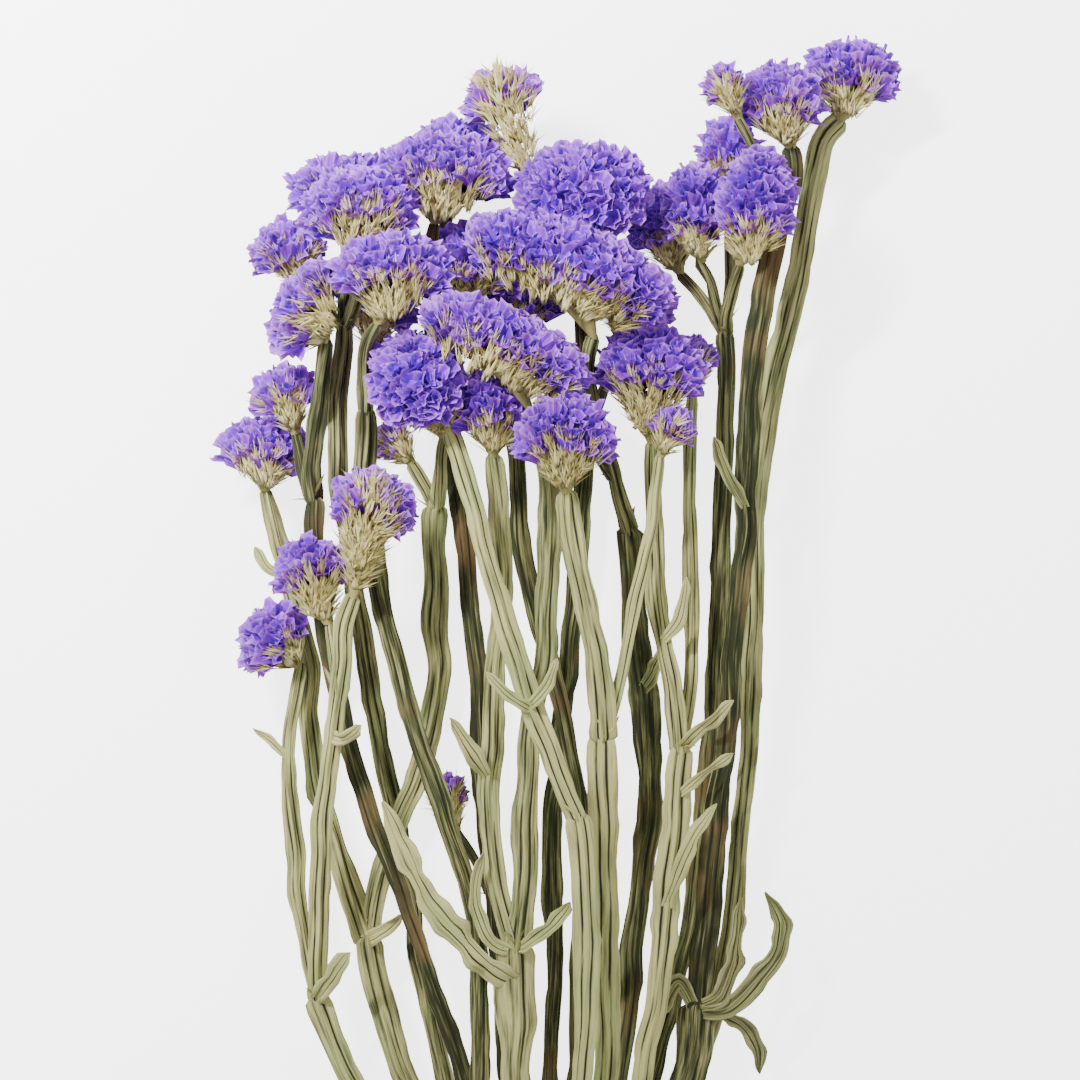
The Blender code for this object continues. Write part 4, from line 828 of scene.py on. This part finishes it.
class Wire:
    """A value in a node tree. Arithmetic on it adds Math nodes, and node adds any other kind."""

    def __init__(self, tree, socket=None):
        self.tree = tree
        self.socket = socket

    def feed(self, value, socket):
        if isinstance(value, Wire):
            self.tree.links.new(value.socket, socket)
        else:
            socket.default_value = value

    def math(self, operation, *values):
        return self.node("ShaderNodeMath", dict(enumerate(values)), operation=operation)

    def __add__(self, other):
        return self.math("ADD", self, other)

    def __radd__(self, other):
        return self.math("ADD", other, self)

    def __sub__(self, other):
        return self.math("SUBTRACT", self, other)

    def __rsub__(self, other):
        return self.math("SUBTRACT", other, self)

    def __mul__(self, other):
        return self.math("MULTIPLY", self, other)

    def __rmul__(self, other):
        return self.math("MULTIPLY", other, self)

    def __abs__(self):
        return self.math("ABSOLUTE", self)

    def node(self, kind, inputs, output=0, **settings):
        """A node of this kind: first its settings, then its sockets' values or links."""
        node = self.tree.nodes.new(kind)
        for key, value in settings.items():
            setattr(node, key, value)
        for slot, value in inputs.items():
            self.feed(value, node.inputs[slot])
        return Wire(self.tree, node.outputs[output])

    def band(self, low, high):
        """0 at low and past it, 1 at high and past it, and 3 t^2 - 2 t^3 between the two. Either
        of them may be the greater."""
        return self.node(
            "ShaderNodeMapRange",
            {0: self, 1: low, 2: high, 3: 0.0, 4: 1.0},
            interpolation_type="SMOOTHSTEP",
        )

    def blend(self, low, high):
        """The colour low where this is 0 and high where it is 1."""
        return self.node("ShaderNodeMix", {0: self, 6: low, 7: high}, 2, data_type="RGBA")


def start_material(name, roughness, specular):
    """A material, its shader, a source for nodes, and the meshes' along, across and tint."""
    material = bpy.data.materials.new(name)
    material.use_nodes = True
    tree = material.node_tree
    shader = tree.nodes["Principled BSDF"]
    shader.inputs["Roughness"].default_value = roughness
    shader.inputs["Specular IOR Level"].default_value = specular
    source = Wire(tree)
    values = [
        source.node("ShaderNodeAttribute", {}, 2, attribute_name=key)
        for key in ("along", "across", "tint")
    ]
    return material, shader, source, *values


def object_place(source):
    """The object's own coordinates, in metres."""
    return source.node("ShaderNodeTexCoord", {}, 3)


def join(source, x, y, z):
    """Three values as one vector."""
    return source.node("ShaderNodeCombineXYZ", {0: x, 1: y, 2: z})


def roughen(source, shader, height, strength, distance):
    """Relief of a height, of which 1 stands for the distance in metres."""
    inputs = {"Height": height, "Strength": strength, "Distance": distance}
    source.feed(source.node("ShaderNodeBump", inputs), shader.inputs["Normal"])


def noise(source, vector, scale, detail=2.0):
    """Fractal noise, mostly from 0.3 to 0.7, with scale blotches in each unit of the vector."""
    return source.node("ShaderNodeTexNoise", {"Vector": vector, "Scale": scale, "Detail": detail})


def colour(red, green, blue):
    return (red, green, blue, 1.0)


BLUE_VIOLET = colour(0.17, 0.006, 0.56)
BRIGHT_VIOLET = colour(0.38, 0.03, 0.95)
RED_VIOLET = colour(0.34, 0.035, 0.66)
# Painted shade: the dark violet down the funnels' tubes and in their throats, deep in the heads.
TUBE_SHADE_VIOLET = colour(0.05, 0.008, 0.22)
# Painted highlights: the lilac of the funnels' pleat ridges and the paler lilac of their rims.
PLEAT_HIGHLIGHT_LILAC = colour(0.66, 0.25, 1.0)
RIM_HIGHLIGHT_LILAC = colour(0.80, 0.40, 1.0)
STRAW = colour(0.52, 0.44, 0.13)
PALE_STRAW = colour(0.98, 0.88, 0.46)
BRACT_OLIVE = colour(0.17, 0.16, 0.05)
BRACT_BROWN = colour(0.30, 0.14, 0.05)
DARK_OLIVE = colour(0.035, 0.038, 0.014)
DRY_YELLOW = colour(0.68, 0.65, 0.27)
DARK_SAGE = colour(0.04, 0.06, 0.022)
PALE_SAGE = colour(0.50, 0.56, 0.22)
AGED_BROWN = colour(0.23, 0.135, 0.055)
# Painted shade: the near black in the grooves where the stems' wings meet their cores.
GROOVE_PAINTED_SHADE = colour(0.02, 0.02, 0.01)
WORN_EDGE = colour(0.74, 0.69, 0.34)
JUTE_SHADE = colour(0.27, 0.17, 0.075)
JUTE_LIGHT = colour(0.62, 0.46, 0.25)
FLOOR_WHITE = colour(0.93, 0.93, 0.93)
BLACK = colour(0, 0, 0)
WHITE = colour(1, 1, 1)


def violet_material():
    """Paper violet, redder in blotches, with painted lilac highlights on the pleat ridges and at the
    rim, and painted shade dark in the tube and throat.
    """
    material, shader, source, along, across, tint = start_material("floret_violet_paper", 0.62, 0.25)
    blotch = noise(source, object_place(source), 160.0)
    body = tint.blend(BLUE_VIOLET, BRIGHT_VIOLET)
    warm = blotch.band(0.5, 0.72).blend(body, RED_VIOLET)
    # Painted highlight: lilac on the pleat ridges, where across is high, in the upper funnel and in
    # blotches.
    streak = (across * 0.30 + blotch).band(0.40, 0.95) * along.band(0.3, 0.9)
    light = (streak * 0.85).blend(warm, PLEAT_HIGHLIGHT_LILAC)
    # Painted highlight: paler lilac along the rim.
    rim = (along.band(0.85, 1.0) * 0.5).blend(light, RIM_HIGHLIGHT_LILAC)
    # Painted shade: dark violet down the tube and in the throat, where along is low.
    deep = (along.band(0.45, 0.1) * 0.85).blend(rim, TUBE_SHADE_VIOLET)
    source.feed(deep, shader.inputs["Base Color"])
    return material


def straw_material():
    """Bracts: olive at the base, straw to pale yellow above, and now and then brown at the tip."""
    material, shader, source, along, across, tint = start_material("straw_bracts", 0.8, 0.2)
    straw = tint.blend(STRAW, PALE_STRAW)
    base = along.band(0.4, 0.0).blend(straw, BRACT_OLIVE)
    brown = (tint.band(0.25, 0.1) * along).blend(base, BRACT_BROWN)
    source.feed(brown, shader.inputs["Base Color"])
    return material


def stem_material():
    """Dry stems: long streaks of sage, straw and olive, pale worn edges, painted shade in the grooves
    where the wings meet the core, and darker on the stems at the back as painted shade.
    """
    material, shader, source, along, across, tint = start_material("stem_sage_dry", 0.78, 0.25)
    streak = noise(source, join(source, across * 3.2, along * 0.035, tint * 9.0), 1.6, 3.0)
    fine = noise(source, join(source, across * 16.0, along * 0.06, tint * 5.0), 1.3)
    patch = noise(source, object_place(source), 38.0, 3.0)
    # The stem's tint moves its streaks towards olive or yellow; for the stems at the back it is
    # partly painted shade.
    lean = tint * 0.42 - 0.04
    mixed = (streak * 0.9 + fine * 0.5 + lean).band(0.42, 0.98)
    base = mixed.blend(DARK_OLIVE, DRY_YELLOW)
    sage = (patch.band(0.42, 0.62) * 0.7).blend(base, mixed.blend(DARK_SAGE, PALE_SAGE))
    # Low tints give more brown patches, so the painted shade of the back stems darkens them here too.
    brown = (patch + tint * -0.18).band(0.58, 0.78)
    aged = (brown * 0.7).blend(sage, AGED_BROWN)
    width = abs(across)
    # Painted shade in the grooves between wing and core, broken up along the stem by the streaks.
    groove_shade_mask = width.band(0.22, 0.3) * width.band(0.44, 0.34)
    groove_shaded = (groove_shade_mask * streak.band(0.75, 0.45)).blend(aged, GROOVE_PAINTED_SHADE)
    worn = width.band(0.74, 0.8) * fine.band(0.35, 0.6) * 0.6
    edge = worn.blend(groove_shaded, WORN_EDGE)
    source.feed(edge, shader.inputs["Base Color"])
    roughen(source, shader, fine + streak, 0.5, 0.0005)
    return material


def jute_material():
    """Brown jute, with fibres that run along each ply."""
    material, shader, source, along, across, tint = start_material("cord_jute_twist", 0.9, 0.5)
    fibre = noise(source, join(source, across * 6.0, along * 0.4, tint), 2.0, 3.0)
    brown = fibre.band(0.25, 0.75).blend(JUTE_SHADE, JUTE_LIGHT)
    source.feed(brown, shader.inputs["Base Color"])
    roughen(source, shader, fibre, 0.6, 0.0004)
    return material


# The bunch.

violet = violet_material()
straw = straw_material()
sage = stem_material()
jute = jute_material()


def bib_height(title, dome):
    """How far up the viewer's side of a head the straw spikelets show."""
    return BIBS.get(title, USUAL_BIB) * dome[2]


def build_stem_looks(name, limbs, seed):
    """The green wood of one stem, and the straw bracts of its heads."""
    rng = np.random.default_rng(seed)
    # The stem's tint, partly painted shade for the stems at the back; each limb varies it a little.
    tint = STEM_TINT_AND_SHADE[name]
    green = Batch()
    bracts = Batch()
    grown = []
    for parent, at, span_start, span_end, points in limbs:
        if parent is not None:
            points = [grown[parent][at], *points]
        grown.append(np.array(points, float))
        points = grown[-1].copy()
        if parent is not None:
            points[0] += unit(grown[parent][at - 1] - points[0]) * LIMB_SUNK
        shade = tint + rng.uniform(-0.15, 0.15)
        add_limb(green, points, span_start, span_end, parent is None, shade, rng)
        if parent is None:
            continue
        count = 3
        base = np.repeat(points[1:2] * 0.12 + points[0:1] * 0.88, count, axis=0)
        way = unit(points[1] - points[0])
        axis = unit(way + rng.normal(0, 0.35, (count, 3)))
        bend = unit(rng.normal(0, 1, (count, 3))) * 0.2
        length = rng.uniform(5, 9, count)
        shades = np.full(count, shade)
        add_blades(green, base, axis, bend, length, length * 0.28, length * 0.06, shades)
    for stem, width, points in LEAVES:
        if stem == name:
            add_leaf(green, points, width, tint + 0.35, rng)
    for title, (stem, limb, rim, facing, long_way, rim_size, dome) in HEADS.items():
        if stem != name:
            continue
        before, tip = grown[limb][-2:]
        foot = tip + unit(before - tip) * CUP_SUNK
        axes = head_axes(facing, long_way)
        add_core(bracts, foot, rim, axes, rim_size, 0.25)
        add_bracts(bracts, foot, rim, axes, rim_size, rng)
        if max(dome) > 6:
            low = SPIKELET_LOW.get(title, -0.75 * np.linalg.norm(np.array(rim, float) - foot))
            add_tufts(bracts, rim, axes, dome, bib_height(title, dome), low, rng)
    wood = green.make(name + "_wood", sage, True)
    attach(wood, "root")
    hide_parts(name)
    if bracts.count:
        cups = bracts.make(name + "_bracts", straw, False)
        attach(cups, "root")


def build_head_looks(name, head, seed):
    """The violet funnels of one head, left out where the straw spikelets show."""
    _, _, rim, facing, long_way, _, dome = head
    rng = np.random.default_rng(900 + seed)
    axes = head_axes(facing, long_way)
    spin = np.stack(axes)
    small = min(dome) < 6
    batch = Batch()
    add_kernel(batch, rim, axes, dome)
    points, normals = dome_points(dome, SMALL_SPACING if small else SPACING, -0.35, rng)
    front = points[:, 1] * np.sign(axes[1][2]) / dome[1]
    top = max(bib_height(name, dome), 0.1)
    bare = (points[:, 0] / (0.74 * dome[0])) ** 2 + (points[:, 2] / top) ** 2 < 1
    shown = (front < 0.1) | ~bare
    points = points[shown]
    normals = unit(normals[shown] + [0, 0, 0.75])
    axis = unit(normals @ spin + rng.normal(0, 0.16, points.shape))
    length = rng.uniform(7.0, 9.5, len(points)) * min(1.0, 0.12 * min(dome) + 0.2)
    radius = rng.uniform(2.8, 4.3, len(points)) * (0.75 if small else 1.0)
    surface = np.array(rim, float) + points @ spin
    start = surface - axis * (length * rng.uniform(0.85, 1.05, len(points)))[:, None]
    add_funnels(batch, start, axis, length, radius, rng.uniform(0, 1, len(points)), rng)
    made = batch.make(name + "_florets", violet, False)
    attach(made, "root")
    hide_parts(name)


def build_tie_looks():
    """Two plies that circle a loop, half a turn apart. The loop goes three times round the stems
    as the rounded square x = a sign(cos t) |cos t|^0.5, z = b sign(sin t) |sin t|^0.5, and each
    turn moves it on by 0.7 of the cord's thickness."""
    batch = Batch()
    rng = np.random.default_rng(7)
    count = 150 * TIE_TURNS
    turn = np.linspace(0, 2 * np.pi * TIE_TURNS, count)
    c = np.cos(turn)
    s = np.sin(turn)
    out = unit(np.stack([c / TIE_HALF_X, 0 * c, s / TIE_HALF_Z], axis=-1))
    loop = np.stack([
        np.sign(c) * np.abs(c) ** TIE_SQUARENESS * (TIE_HALF_X + CORD_D / 2),
        TIE_Y + np.linspace(-1, 1, count) * CORD_D * (TIE_TURNS - 0.9) / 2,
        TIE_MIDDLE + np.sign(s) * np.abs(s) ** TIE_SQUARENESS * (TIE_HALF_Z + CORD_D / 2),
    ], axis=-1)
    loop[:, 2] = np.maximum(loop[:, 2], CORD_D / 2)
    side = np.repeat([[0.0, 1.0, 0.0]], count, axis=0)
    angle = angles(8)
    for ply in range(2):
        phase = turn * TWISTS_A_TURN + np.pi * ply
        route = loop + out * (np.cos(phase) * PLY_ORBIT)[:, None]
        route = route + side * (np.sin(phase) * PLY_ORBIT)[:, None]
        rough = 1 + 0.06 * rng.normal(0, 1, (count, len(angle)))
        profile_s = PLY_R * np.cos(angle) * rough
        profile_u = PLY_R * np.sin(angle) * rough
        add_tube(batch, route, side, -out, profile_s, profile_u, angle / np.pi - 1, float(ply))
    made = batch.make("tie_cord", jute, True)
    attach(made, "root")
    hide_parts("tie")


for number, (name, limbs) in enumerate(STEMS.items()):
    build_stem_looks(name, limbs, number)
for number, (name, head) in enumerate(HEADS.items()):
    build_head_looks(name, head, number)
build_tie_looks()


# The table top, the light and the camera.

def build_stage():
    """A table top that glows for the camera alone, an even room, and two lamps turned to the
    middle of the frame: each looks along minus its own place."""
    bpy.ops.mesh.primitive_plane_add(size=6, location=(0, 0, -0.0004))
    floor = bpy.context.object
    floor.name = "floor"
    material = bpy.data.materials.new("floor_white")
    material.use_nodes = True
    shader = material.node_tree.nodes["Principled BSDF"]
    shader.inputs["Base Color"].default_value = FLOOR_WHITE
    shader.inputs["Roughness"].default_value = 0.9
    source = Wire(material.node_tree)
    seen = source.node("ShaderNodeLightPath", {}, 0)
    source.feed(seen.blend(BLACK, WHITE), shader.inputs["Emission Color"])
    shader.inputs["Emission Strength"].default_value = 3.5
    floor.data.materials.append(material)
    world = bpy.data.worlds.new("soft_room")
    world.use_nodes = True
    world.node_tree.nodes["Background"].inputs["Color"].default_value = WHITE
    world.node_tree.nodes["Background"].inputs["Strength"].default_value = 0.62
    bpy.context.scene.world = world
    for name, place, size, power in (
        ("key", (-0.5, 0.6, 0.9), 0.3, 105),
        ("fill", (0.8, -0.2, 1.1), 1.0, 7),
    ):
        light = bpy.data.lights.new(name, "AREA")
        light.size = size
        light.energy = power
        lamp = bpy.data.objects.new(name, light)
        lamp.location = place
        aim = -np.array(place)
        lamp.rotation_euler = (
            math.atan2(math.hypot(aim[0], aim[1]), -aim[2]), 0, math.atan2(aim[0], -aim[1])
        )
        bpy.context.scene.collection.objects.link(lamp)


# The photo's middle along the bunch in millimetres; then the bunch's middle height and the width
# of the photo's frame there in metres.
PHOTO_Y = 292
MIDDLE_Z = 0.035
PHOTO_WIDE = 0.324


def build_camera():
    """Straight above the heads: the photo's frame is 324 mm wide at the bunch's middle height."""
    focal = 150
    sensor = 36
    lens = bpy.data.cameras.new("photo")
    lens.lens = focal
    lens.sensor_width = sensor
    camera = bpy.data.objects.new("photo", lens)
    height = MIDDLE_Z + PHOTO_WIDE * focal / sensor
    camera.location = (SHIFT[0] * MM, (PHOTO_Y + SHIFT[1]) * MM, height)
    bpy.context.scene.collection.objects.link(camera)
    bpy.context.scene.camera = camera


build_stage()
build_camera()
